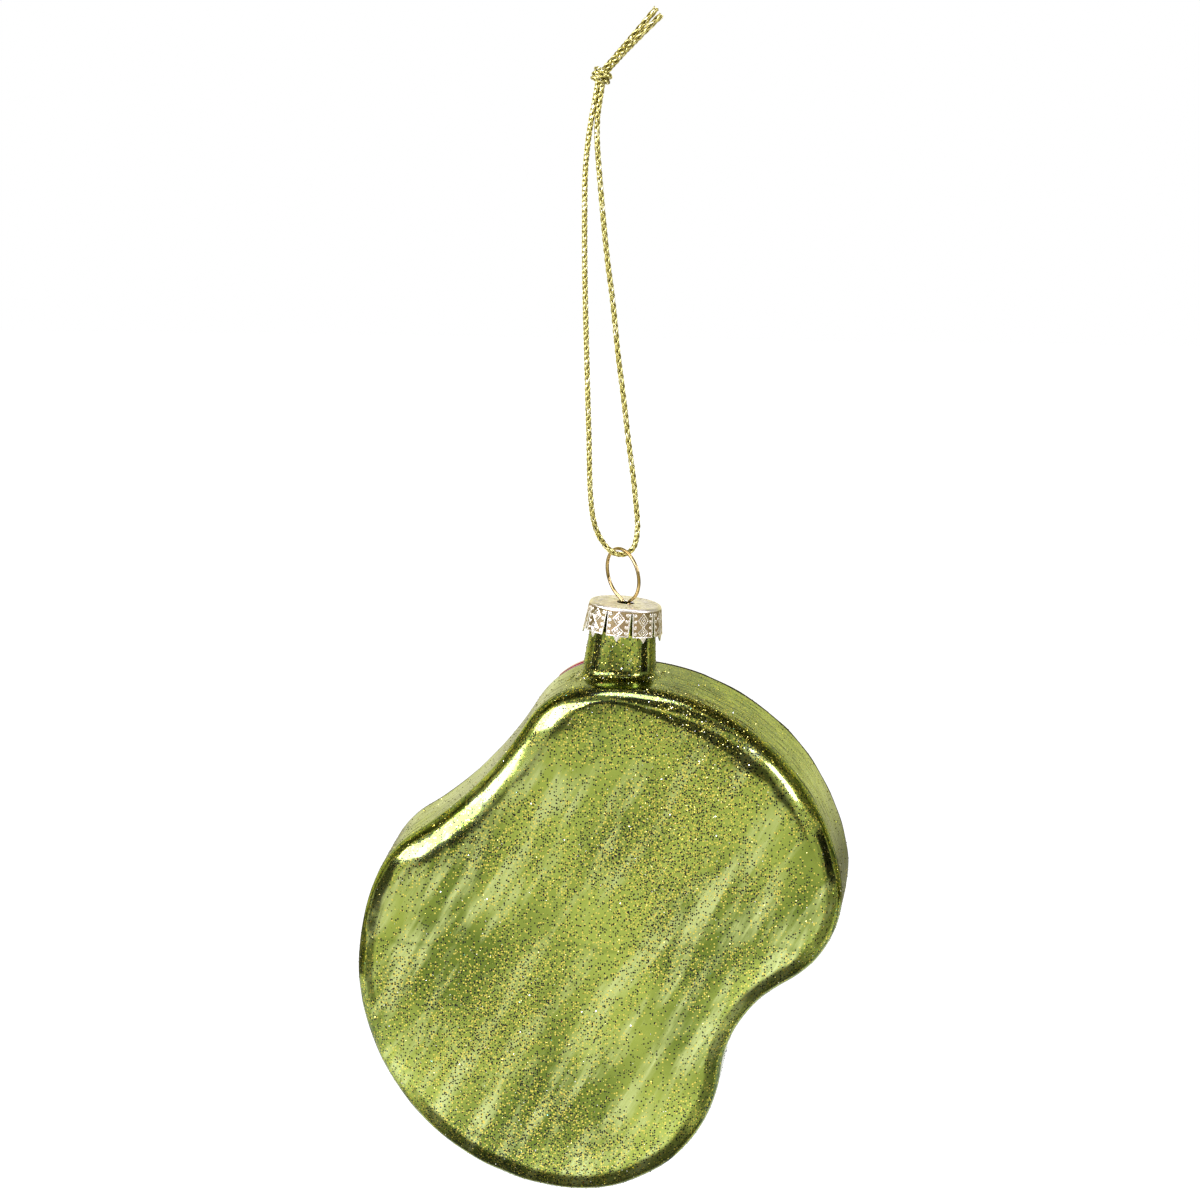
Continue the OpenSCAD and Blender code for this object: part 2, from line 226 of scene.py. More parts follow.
lacquer = {
    "deep": srgb(102, 120, 24), "middle": srgb(158, 172, 66), "pale": srgb(194, 205, 124),
    # rim: dark lacquer of the runs and seam, also the colour of the painted shade on the wall and round the
    # neck's root
    "rim": srgb(70, 84, 12),
    "edge": (0.5, 0.57, 0.17, 1), "dullEdge": (0.04, 0.045, 0.02, 1),     # gloss at a grazing angle
    "coat": (0.55, 0.4), "dullCoat": 0.1,          # on the faces and on the wall; share left where dull
    # noise: blob size in mm, detail, roughness, turn and offset; then its range and what that becomes
    "patch": ((15, 15, 25.5), 3, 0.5, 30, (9, 3, 30)), "patchRange": (0.36, 0.6),
    "streak": ((3.4, 12, 16), 5, 0.55, 30), "streakRange": (0.48, 0.62),
    "hair": ((0.9, 6, 10), 3, 0.6, 30, (40, 0, 7)), "hairRange": (0.34, 0.6, 0.25, 1.0),
    "wander": (9, 3, 0.5, 0, (2, 2, 2)), "wanderRange": (0, 1, -3.2 * mm, 3.2 * mm),
    "runs": ((6, 0.5, 6), 3, 0.6, 0, (3, 1, 5)), "runsRange": (0.5, 0.6, 0.0, 0.8), "farRuns": 0.4,
    "crowd": (12, 3, 0.55, 0, (5, 0, 2)), "crowdRange": (0.42, 0.66, 0.0, 0.75),
    "rough": (9, 2), "roughRange": (0.3, 0.7, 0.08, 0.15),
    "swell": (5, 2, 0.4), "pimple": (1.4, 2), "pimpleShare": 0.22, "bumpDepth": (0.3, 0.4),
    # places on the body in mm, and what they become
    # shade: painted shade towards the neck; then where a faint wavering darker line runs, and how it fades
    "shade": (-134, -92, 0.0, 0.35), "wavyLineZ": -139.6, "wavyLine": (0.1, 0.8, 0.42, 0.0),
    "wallBand": ((-14.2, -12), (14.2, 12)), "wallTop": (-95, -98),
    # nearBack and rimShade: painted shade on the side wall, darkest by the back edge and on the right side
    "nearBack": (-12, 6, 1.0, 0.0), "rimShade": (-14, 6, 0.3, 0.55),
    "seamBand": ((9.2, 9.7), (12, 11)), "seam": 0.6,
    # the foot band: a ring of painted shade round the neck's root
    "footShadeBand": ((-99.6, -98.2), (-93.6, -95.2)), "foot": 0.75,
    # the gold specks are glitter; the dark ones are painted shadows of flakes
    "specksAndFlakeShadows": [(0.38, 0.37, srgb(228, 210, 88)), (0.36, 0.42, srgb(8, 10, 0))],     # cell in mm, size, colour
    "chance": (0.15, 0.78), "rimCrowd": 0.3,
    "drifts": [(11, -40, 9, 0.9), (-15, -72, 11, 0.9), (17, -19, 7, 0.4),
               (1, -95, 9, 1.0)],                  # x, z, spread, share
}


def speckCrowd(tree, coords, onWall):
    # how thick the specks lie: cloudy all over, with more on the wall and in the drifts
    crowd = maths(tree, "ADD", times(tree, onWall, lacquer["rimCrowd"]), spots(tree, lacquer, "crowd"))
    for x, z, spread, share in lacquer["drifts"]:
        middle = (asHung([(x, 0, z)])[0] * mm).tolist()
        off = addNode(tree, "ShaderNodeVectorMath", {0: coords, 1: middle}, operation="SUBTRACT").outputs[0]
        flat = addNode(tree, "ShaderNodeVectorMath", {0: off, 1: (1, 0, 1)}, operation="MULTIPLY").outputs[0]
        reach = addNode(tree, "ShaderNodeVectorMath", {0: flat}, operation="LENGTH").outputs["Value"]
        crowd = maths(tree, "ADD", crowd, rangedMm(tree, reach, 0, 2 * spread, share, 0.0))
    return ranged(tree, crowd, 0, 1, *lacquer["chance"])


def greenLacquer():
    # green lacquer over silvering: pale brushed streaks, deeper patches, fine gold specks and dark specks of
    # painted flake shadow, with painted shade towards the neck, on the wall and round the neck's root
    material, tree, shader = newMaterial("greenLacquer", Metallic=1.0, Coat_Roughness=0.16, Coat_IOR=1.5)
    coords = objectPlace(tree)
    place = addNode(tree, "ShaderNodeSeparateXYZ", {"Vector": coords}).outputs
    height, depth = place["Z"], place["Y"]
    deep, rim = lacquer["deep"], lacquer["rim"]

    base = blendColour(tree, spots(tree, lacquer, "patch"), deep, lacquer["middle"])
    pale = times(tree, spots(tree, lacquer, "streak"), spots(tree, lacquer, "hair"))
    base = blendColour(tree, pale, base, lacquer["pale"])

    # painted shade: darker towards the neck; and a faint wavering darker line across the body at one height
    base = blendColour(tree, rangedMm(tree, height, *lacquer["shade"]), base, deep)
    wandered = maths(tree, "ADD", height, spots(tree, lacquer, "wander"))
    offWavyLine = maths(tree, "SUBTRACT", wandered, lacquer["wavyLineZ"] * mm)
    wavyLine = rangedMm(tree, maths(tree, "ABSOLUTE", offWavyLine), *lacquer["wavyLine"])
    base = blendColour(tree, wavyLine, base, deep)

    # on the side wall a painted shade darkens it by the back edge, most on the right, with fine runs along
    # the rim
    onWall = times(tree, band(tree, depth, *lacquer["wallBand"]), rangedMm(tree, height, *lacquer["wallTop"]))
    nearBack = times(tree, onWall, rangedMm(tree, depth, *lacquer["nearBack"]))
    # thick is painted shade by the wall's back edge
    thick = times(tree, nearBack, rangedMm(tree, place["X"], *lacquer["rimShade"]))
    base = blendColour(tree, thick, base, rim)
    fewer = ranged(tree, nearBack, 0, 1, lacquer["farRuns"], 1.0)
    lines = times(tree, spots(tree, lacquer, "runs"), fewer, onWall)
    base = blendColour(tree, lines, base, rim)

    # a dark seam round the front edge and a ring of painted shade at the neck's root; seam and runs are dull
    seam = band(tree, depth, *lacquer["seamBand"])
    base = blendColour(tree, times(tree, seam, lacquer["seam"]), base, rim)
    foot = band(tree, height, *lacquer["footShadeBand"])
    base = blendColour(tree, times(tree, foot, lacquer["foot"]), base, rim)
    dull = maths(tree, "MAXIMUM", seam, lines)
    coat = times(tree, ranged(tree, onWall, 0, 1, *lacquer["coat"]),
                 ranged(tree, dull, 0, 1, 1.0, lacquer["dullCoat"]))

    # gold specks, and dark specks that are painted shadows of the flakes: each a share of the cells of a fine
    # pattern
    chance = speckCrowd(tree, coords, onWall)
    for cell, size, colour in lacquer["specksAndFlakeShadows"]:
        cells = addNode(tree, "ShaderNodeTexVoronoi", {"Vector": coords, "Scale": 1 / (cell * mm)}).outputs
        inside = maths(tree, "LESS_THAN", cells["Distance"], size)
        pick = addNode(tree, "ShaderNodeSeparateColor", {"Color": cells["Color"]}).outputs[0]
        shown = times(tree, inside, maths(tree, "LESS_THAN", pick, chance))
        base = blendColour(tree, shown, base, colour)

    feed(tree, shader, Base_Color=base, Coat_Weight=coat, Roughness=spots(tree, lacquer, "rough"),
         Specular_Tint=blendColour(tree, dull, lacquer["edge"], lacquer["dullEdge"]))
    pimples = times(tree, spotNoise(tree, *lacquer["pimple"]), lacquer["pimpleShare"])
    uneven = maths(tree, "ADD", spotNoise(tree, *lacquer["swell"]), pimples)
    addBump(tree, shader, uneven, *lacquer["bumpDepth"])
    return material


def dress(tree, shader, colour, look):
    feed(tree, shader, Base_Color=colour, Roughness=spots(tree, look, "rough"))
    addBump(tree, shader, spotNoise(tree, *look["bump"]), *look["bumpDepth"])


sheetLook = {
    # recess: painted shade in the pattern's recesses; raised: painted highlight on the raised lines
    "recessShade": (srgb(142, 130, 78), srgb(166, 142, 98)), "blotch": (5, 2), "blotchRange": (0.35, 0.65),
    "raised": srgb(234, 226, 194), "raisedRange": (0.05, 0.75),
    "rough": (1.5, 3), "roughRange": (0.3, 0.7, 0.34, 0.48), "bump": (0.4, 2), "bumpDepth": (0.03, 0.25),
}


def goldSheet():
    # pale gold stamped sheet, with painted shade in the recesses of its pattern and a painted highlight on
    # its raised parts
    material, tree, shader = newMaterial("goldSheet", Metallic=1.0)
    recessShade = blendColour(tree, spots(tree, sheetLook, "blotch"), *sheetLook["recessShade"])
    raised = ranged(tree, stored(tree, "emboss"), *sheetLook["raisedRange"])
    dress(tree, shader, blendColour(tree, raised, recessShade, sheetLook["raised"]), sheetLook)
    return material


wireLook = {
    "tones": (srgb(148, 122, 60), srgb(188, 164, 104)), "blotch": (2.5, 3), "blotchRange": (0.35, 0.65),
    "rough": (0.8, 3), "roughRange": (0.3, 0.7, 0.12, 0.3), "bump": (0.25, 2), "bumpDepth": (0.03, 0.3),
}


def goldWire():
    material, tree, shader = newMaterial("goldWire", Metallic=1.0)
    dress(tree, shader, blendColour(tree, spots(tree, wireLook, "blotch"), *wireLook["tones"]), wireLook)
    return material


braidLook = {
    "tones": (srgb(78, 66, 16), srgb(216, 204, 112)), "bright": srgb(238, 230, 168),
    "glint": (0.9, 1), "glintRange": (0.56, 0.74),
    "rough": (0.7, 2), "roughRange": (0.3, 0.7, 0.12, 0.3), "bump": (0.6, 1), "bumpDepth": (0.05, 0.25),
}


def goldBraid():
    # foil ribbon of the cord: bright lime gold with olive and brownish lengths, painted shade where a ribbon
    # passes under the others, and painted glints
    material, tree, shader = newMaterial("goldBraid", Metallic=1.0)
    colour = blendColour(tree, stored(tree, "tone"), *braidLook["tones"])
    colour = blendColour(tree, spots(tree, braidLook, "glint"), colour, braidLook["bright"])
    dress(tree, shader, colour, braidLook)
    return material


flakeLook = {
    "roughness": 0.22,
    "tones": ((0, srgb(180, 166, 62)), (0.35, srgb(206, 194, 98)), (0.65, srgb(132, 124, 34)),
              (0.91, srgb(246, 244, 214)), (0.975, srgb(130, 206, 150)),
              (0.988, srgb(190, 110, 60))),      # each from this share of the flakes on
}


def glitterFoil():
    material, tree, shader = newMaterial("glitterFoil", Metallic=1.0, Roughness=flakeLook["roughness"])
    ramp = addNode(tree, "ShaderNodeValToRGB", {"Fac": stored(tree, "tone")})
    ramp.color_ramp.interpolation = "CONSTANT"
    while len(ramp.color_ramp.elements) < len(flakeLook["tones"]):
        ramp.color_ramp.elements.new(1.0)
    for element, (place, colour) in zip(ramp.color_ramp.elements, flakeLook["tones"]):
        element.position = place
        element.color = colour
    feed(tree, shader, Base_Color=ramp.outputs["Color"])
    return material


paints = {     # dark, light, how metallic, and the size of its thick places in mm
    "redEnamel": (srgb(104, 6, 22), srgb(156, 16, 38), 0.35, 3.0),
    "whiteEnamel": (srgb(222, 218, 204), srgb(240, 238, 230), 0.0, 2.5),
    "darkEnamel": (srgb(18, 19, 18), srgb(40, 42, 38), 0.0, 2.0),
}


def enamel(name):
    # brushed-on glossy paint, a little thicker in places
    dark, light, metallic, blob = paints[name]
    look = {
        "blotch": (blob, 3, 0.55), "blotchRange": (0.35, 0.65), "rough": (blob / 3, 2),
        "roughRange": (0.3, 0.7, 0.22, 0.4), "bump": (blob / 4, 2), "bumpDepth": (0.08, 0.4),
    }
    material, tree, shader = newMaterial(name, Metallic=metallic, Coat_Weight=0.8, Coat_Roughness=0.06)
    dress(tree, shader, blendColour(tree, spots(tree, look, "blotch"), dark, light), look)
    return material


print("materials")
lacquerGreen = greenLacquer()
capGold = goldSheet()
wireGold = goldWire()
cordGold = goldBraid()
flakeGold = glitterFoil()
redEnamel, whiteEnamel, darkEnamel = (enamel(name) for name in paints)


# Camera: the photograph's viewing angle, from the flat back and a little above

view = {"target": (0, 0, -84.5), "distance": 800, "elevation": 11, "azimuth": 5.5, "frameWidth": 198,
        "sensor": 36, "clip": (0.01, 50)}


def setCamera():
    back = Vector(direction(view["azimuth"], view["elevation"]))
    data = bpy.data.cameras.new("camera")
    data.sensor_width = view["sensor"]
    data.lens = view["sensor"] * view["distance"] / view["frameWidth"]
    data.clip_start, data.clip_end = view["clip"]
    camera = addObject("camera", data)
    camera.location = (Vector(view["target"]) + back * view["distance"]) * mm
    camera.rotation_euler = (-back).to_track_quat("-Z", "Y").to_euler()
    scene.camera = camera


setCamera()
print("camera")


# Cord: one braid, from a cut tail through the knot, round the loop and back to the other tail

braid = {
    "loop": [(-0.2, 1.2), (-0.8, -2), (-1.35, -5), (-1.95, -9), (-2.4, -14), (-2.5, -21), (-2.5, -28),
             (-2.4, -35), (-2.2, -43), (-2, -51), (-1.8, -58), (-1.7, -64), (-1.4, -69), (-0.7, -72.5),
             (0.6, -75), (2, -76.4), (3.4, -76.8), (4.8, -76.4), (5.8, -75), (6.2, -72), (5.9, -68),
             (5.5, -64), (4.7, -58), (3.9, -51), (2.9, -43), (2.1, -35), (1.2, -28), (0.5, -21),
             (-0.1, -14), (-0.45, -9), (-0.4, -5), (0.0, -2), (0.55, 1.2)],
    "tails": [[(0.2, 2.6), (2.35, 5.1), (4.6, 7.7), (6.9, 10.25), (9.15, 12.75)],
              [(1, 2), (3.15, 4.45), (5.5, 6.95), (7.75, 9.35), (10, 11.7)]],
    "tailDepth": 0.35, "tailClose": 0.22,      # one tail lies partly behind the other
    "knotAt": (0.3, 0, 1.8), "diameter": 0.9, "step": 0.17, "curveSteps": 24,
    "ribbons": 3,                              # in each direction
    "pitch": 5.0, "ringR": 0.33, "over": 0.09, "ribbonWide": 0.21, "ribbonThick": 0.08, "sides": 6,
    # tone: each ribbon's own tone at random; weaveShade: painted shade where a ribbon passes under, painted
    # light where it passes over
    "swell": (0.12, 2.1), "tone": (0.6, 0.12), "weaveShade": 0.3,
    "looseEnd": (2.0, 9.0), "looseR": 0.05, "untwist": 0.45, "fray": 0.3,
}


def smoothPath(points, step):
    # Catmull-Rom curve through the points, then even steps along it
    p = np.asarray(points, float)
    ends = np.vstack([p[0], p, p[-1]])
    t = np.linspace(0, 1, braid["curveSteps"], endpoint=False)[:, None]
    fine = []
    for i in range(len(p) - 1):
        a, b, c, d = ends[i:i + 4]
        square, cube = 2 * a - 5 * b + 4 * c - d, 3 * b - a - 3 * c + d
        fine.append(0.5 * (2 * b + (c - a) * t + square * t**2 + cube * t**3))
    fine = np.vstack(fine + [p[-1:]])
    along = np.concatenate([[0], np.cumsum(np.linalg.norm(np.diff(fine, axis=0), axis=1))])
    wanted = np.linspace(0, along[-1], int(along[-1] / step) + 2)
    return np.column_stack([np.interp(wanted, along, fine[:, k]) for k in range(3)]), wanted


def carriedFrame(path):
    # two directions square to the path at each point, carried along it without twisting
    tangent = unit(np.gradient(path, axis=0))
    first = np.zeros_like(path)
    side = yAxis if abs(tangent[0][1]) < 0.9 else np.array([1.0, 0.0, 0.0])
    for i, t in enumerate(tangent):
        side = side - t * np.dot(side, t)
        side = side / np.linalg.norm(side)
        first[i] = side
    return first, np.cross(tangent, first)


def fullTurn(count):
    return np.arange(count) * 2 * math.pi / count


def braidAlong(path, along, loose, fray):
    # ribbons wound both ways round the path, each passing over and under the others
    u, v = carriedFrame(path)
    points, faces, tones = [], [], []
    ribbons, sides = braid["ribbons"], braid["sides"]
    turns = np.cumsum((1 - braid["untwist"] * loose) * np.gradient(along)) / braid["pitch"]
    weave = np.cos(ribbons * 2 * math.pi * turns)
    around = fullTurn(sides)
    swell, swellTurn = braid["swell"]
    for way in (1, -1):
        r = braid["ringR"] + way * braid["over"] * weave + braid["looseR"] * loose
        for k in range(ribbons):
            turn = 2 * math.pi * (way * turns + k / ribbons)
            out = np.cos(turn)[:, None] * u + np.sin(turn)[:, None] * v
            middle = path + r[:, None] * out
            first = int(fray * rng.random() / braid["step"])
            last = len(path) - int(fray * rng.random() / braid["step"])
            middle, out = middle[first:last], out[first:last]
            side = unit(np.cross(unit(np.gradient(middle, axis=0)), out))
            wide = braid["ribbonWide"] * (1 + swell * np.sin(along[first:last] * swellTurn + k + way))
            ring = (middle[:, None] + wide[:, None, None] * np.cos(around)[None, :, None] * side[:, None]
                    + braid["ribbonThick"] * np.sin(around)[None, :, None] * out[:, None])
            faces += tubeFaces(len(middle), sides, sum(len(p) for p in points))
            points.append(ring.reshape(-1, 3))
            # painted shade under the crossings, painted light over them
            tone = np.clip(rng.normal(*braid["tone"]) + braid["weaveShade"] * way * weave[first:last], 0, 1)
            tones.append(np.repeat(tone, sides))
    return np.vstack(points), faces, np.concatenate(tones)


def cordPiece():
    depths = (braid["tailDepth"], -braid["tailDepth"])
    back, front = (np.array([(x, y, z) for x, z in tail]) for y, tail in zip(depths, braid["tails"]))
    # the tails lie close by the knot and part towards their ends
    shares = braid["tailClose"] * (1 - np.linspace(0, 1, len(back))**2)
    close = shares[:, None] * (front - back) * (1, 0, 1)
    loop = [(x, 0, z) for x, z in braid["loop"]]
    path, along = smoothPath(np.vstack([(back + close)[::-1], loop, front - close]), braid["step"])
    fromEnd = np.minimum(along, along[-1] - along)
    points, faces, tones = braidAlong(path, along, 1 - smoothStep(fromEnd, *braid["looseEnd"]), braid["fray"])
    piece = makePiece("hangingCord", points, faces, "cord", cordGold,
                      ["cord_loop", "cord_tails"], marks={"tone": tones})
    return piece, path, along[-1]


knotForm = {"wide": 1.22, "deep": 0.98, "rise": 0.92, "turns": 1.35, "lean": 24, "start": 150, "steps": 40,
            "climb": 0.8, "tuck": 0.35, "tuckFrom": (0.4, 0.5)}


def knotPiece():
    # the overhand knot drawn tight: the doubled cord wraps once and a third round its own two strands
    lean = math.radians(knotForm["lean"])
    up = np.array([math.sin(lean), 0, math.cos(lean)])
    across = np.array([math.cos(lean), 0, -math.sin(lean)])
    a = np.radians(knotForm["start"] + np.linspace(0, 360 * knotForm["turns"], knotForm["steps"]))
    share = np.linspace(-0.5, 0.5, len(a))
    squeeze = 1 - knotForm["tuck"] * smoothStep(np.abs(share), *knotForm["tuckFrom"])
    points, faces, tones = [], [], []
    for which in (-0.5, 0.5):
        height = which * knotForm["rise"] + share * knotForm["rise"] * knotForm["climb"]
        wrap = (np.array(braid["knotAt"]) + np.outer(height, up)
                + np.outer(knotForm["wide"] * squeeze * np.cos(a), across)
                + np.outer(knotForm["deep"] * squeeze * np.sin(a), yAxis))
        path, along = smoothPath(wrap, braid["step"])
        p, f, t = braidAlong(path, along, np.zeros(len(path)), 0)
        start = sum(len(q) for q in points)
        points.append(p)
        faces += [tuple(start + i for i in face) for face in f]
        tones.append(t)
    return makePiece("cordKnot", np.vstack(points), faces, "cord", cordGold, ["cord_knot"],
                     marks={"tone": np.concatenate(tones)})


cord, cordPath, cordLength = cordPiece()
knot = knotPiece()
print("cord", round(cordLength, 1), "mm")


# Glass body: a kidney outline of eight arcs, blown as a shell with rounded edges and an open neck

glass = {
    "lobes": [(24, -44, 17), (-1, -26, 14), (-21.5, -52.5, 15), (0.5, -74.5, 23.5)],   # x, z, radius
    "links": [38, -57, 38, -20.5],        # arcs from each lobe to the next, hollow where negative
    "depth": 30, "edgeR": 5, "wall": 1,
    "spacing": 0.85, "edgeSteps": 12, "wallSteps": 20, "faceRings": 22,
    "dome": 0.3, "domeTilt": 7.5,         # how far the back's edge falls, and its slope there
    "narrow": 2.6, "narrowAt": (-1, 9), "narrowFacing": (0.6, 0.95),      # the back edge under the neck
    "widen": 1.2, "widenLeft": (0.2, 0.7), "widenUp": (-0.2, 0.4),        # and on the upper left
    "neckR": 5.5, "footR": 6.0, "boreR": 4.5, "skirtEnd": -5.5, "neckTop": -0.35, "flare": 1.6,
    "neckRings": 10, "flareRings": 7, "lipRings": 8,
    "patch": 8.2, "patchAbove": -30, "patchMargin": 6, "patchRings": 5,   # where the neck joins the wall
    "wave": (0.16, 12), "edgeWave": (0.13, 4.2),                          # height and length
    "edgeWaveIn": (9.5, 11.5), "edgeWaveOut": (14.7, 15), "calmAbove": (-20, -13), "calmHalf": 14,
}


def outlineArcs():
    lobes, links = glass["lobes"], glass["links"]
    count = len(lobes)
    middles = []
    for i, r in enumerate(links):
        (ax, az, ar), (bx, bz, br) = lobes[i], lobes[(i + 1) % count]
        length = math.hypot(bx - ax, bz - az)
        ux, uz = (bx - ax) / length, (bz - az) / length
        ra, rb = abs(r - ar), abs(r - br)
        t = (ra * ra - rb * rb + length * length) / (2 * length)
        h = math.copysign(math.sqrt(ra * ra - t * t), r)
        middles.append((ax + ux * t - uz * h, az + uz * t + ux * h))

    def meet(k, i):
        # direction of the outward normal where lobe k meets link i
        s = math.copysign(1, links[i])
        return math.atan2((lobes[k][1] - middles[i][1]) * s, (lobes[k][0] - middles[i][0]) * s)

    arcs = []
    for k in range(count):
        first, last = meet(k, k - 1 if k else count - 1), meet(k, k)
        arcs.append((lobes[k][:2], lobes[k][2], first, (last - first) % (2 * math.pi)))
        first, last = meet(k, k), meet((k + 1) % count, k)
        sweep = (last - first) % (2 * math.pi) if links[k] > 0 else -((first - last) % (2 * math.pi))
        arcs.append((middles[k], links[k], first, sweep))
    return arcs


def outlinePoints():
    # points round the outline and the outward normal at each
    points, normals = [], []
    for (cx, cz), r, first, sweep in outlineArcs():
        count = math.ceil(abs(r * sweep) / glass["spacing"])
        for k in range(count):
            a = first + sweep * k / count
            points.append((cx + r * math.cos(a), cz + r * math.sin(a)))
            normals.append((math.cos(a), math.sin(a)))
    return np.array(points), np.array(normals)


def edgeWidth(points, normals):
    # how far the rounded back edge reaches in: less under the neck, more on the upper left
    middle, spread = glass["narrowAt"]
    across, up = normals.T
    underNeck = np.exp(-((points[:, 0] - middle) / spread)**2) * smoothStep(up, *glass["narrowFacing"])
    upperLeft = smoothStep(-across, *glass["widenLeft"]) * smoothStep(up, *glass["widenUp"])
    return glass["edgeR"] - glass["narrow"] * underNeck + glass["widen"] * upperLeft


def skinRows(points, normals, inset):
    # closed rows round the outline, from near the middle of the back to near the middle of the front
    deep = glass["edgeR"] - inset
    flat = glass["depth"] / 2 - glass["edgeR"]
    hub = np.mean([lobe[:2] for lobe in glass["lobes"]], axis=0)
    rows = []

    def addRow(ring, y):
        rows.append(np.column_stack([ring[:, 0], np.broadcast_to(y, len(ring)), ring[:, 1]]))

    shares = np.sin(np.linspace(0, math.pi / 2, glass["faceRings"] + 1)[1:-1])
    steps = np.linspace(0, 1, glass["edgeSteps"] + 1)
    domed = (glass["dome"], math.tan(math.radians(glass["domeTilt"])), edgeWidth(points, normals))
    plain = (0, 0, np.full(len(points), float(glass["edgeR"])))
    for side, (fall, slope, wide) in ((-1, domed), (1, plain)):
        reachIn = wide - inset
        start = np.arctan(slope * reachIn / deep)
        faceEdge = points - (wide - reachIn * np.sin(start))[:, None] * normals
        reach = np.linalg.norm(faceEdge - hub, axis=1)
        drop = fall + deep * (1 - np.cos(start))
        half = []
        for f in shares:
            near = np.clip(1 - (1 - f) * reach * slope / np.maximum(2 * drop, 1e-6), 0, 1)
            half.append((hub + f * (faceEdge - hub), flat + deep - drop * near**2))
        for step in steps:
            a = start + (math.pi / 2 - start) * step
            ring = points - (wide - reachIn * np.sin(a))[:, None] * normals
            half.append((ring, flat - fall + deep * np.cos(a)))
        if side < 0:
            for ring, y in half:
                addRow(ring, -y)
            for y in np.linspace(-flat + fall, flat, glass["wallSteps"] + 1)[1:-1]:
                addRow(points - inset * normals, y)
        else:
            for ring, y in half[::-1]:
                addRow(ring, y)
    hubs = np.array([(hub[0], side * (flat + deep), hub[1]) for side in (-1, 1)])
    return np.array(rows), hubs, len(shares) + len(steps) - 1


def bridge(verts, faces, ids, ring):
    # adds a loop of points, joins it to the loop before and tells where it is
    start = sum(len(v) for v in verts)
    verts.append(ring)
    new = list(range(start, start + len(ring)))
    joinLoops(faces, ids, new)
    return new


def joinLoops(faces, one, other):
    for k in range(len(one)):
        j = (k + 1) % len(one)
        faces.append((one[k], one[j], other[j], other[k]))


def skinWithNeckHole(points, normals, inset, neckR, flare):
    # one skin of the shell, with a patch round the neck whose last loop is the neck's root
    rows, hubs, wallStart = skinRows(points, normals, inset)
    m, n = rows.shape[:2]
    patch, margin = glass["patch"], glass["patchMargin"]
    top = [j for j in range(n) if abs(points[j, 0]) < patch and points[j, 1] > glass["patchAbove"]]
    first, last = min(top), max(top)
    inPatch = [i for i in range(wallStart, m - wallStart) if abs(rows[i, 0, 1]) < patch]
    low, high = min(inPatch), max(inPatch)
    faces = [quad for quad in gridFaces(m, n, closed=True)
             if not (low <= quad[0] // n < high and first <= quad[0] % n < last)]
    for j in range(n):
        k = (j + 1) % n
        faces += [(m * n, k, j), (m * n + 1, (m - 1) * n + j, (m - 1) * n + k)]
    loop = ([(low, j) for j in range(first, last)] + [(i, last) for i in range(low, high)]
            + [(high, j) for j in range(last, first, -1)] + [(i, first) for i in range(high, low, -1)])
    ids = [i * n + j for i, j in loop]
    edge = np.array([rows[i, j] for i, j in loop])
    turn = np.arctan2(edge[:, 1], edge[:, 0])
    crest = rows[low, first - margin:last + margin + 1]
    crest = crest[np.argsort(crest[:, 0])]

    def onTop(x, y):
        return np.column_stack([x, y, np.interp(x, crest[:, 0], crest[:, 2])])

    verts = [rows.reshape(-1, 3), hubs]
    rootX, rootY = (neckR + flare) * np.cos(turn), (neckR + flare) * np.sin(turn)
    for t in np.linspace(0, 1, glass["patchRings"] + 1)[1:]:
        root = onTop(edge[:, 0] + t * (rootX - edge[:, 0]), edge[:, 1] + t * (rootY - edge[:, 1]))
        ids = bridge(verts, faces, ids, root)
    foot = onTop(neckR * np.cos(turn), neckR * np.sin(turn))
    return verts, faces, ids, turn, root, foot


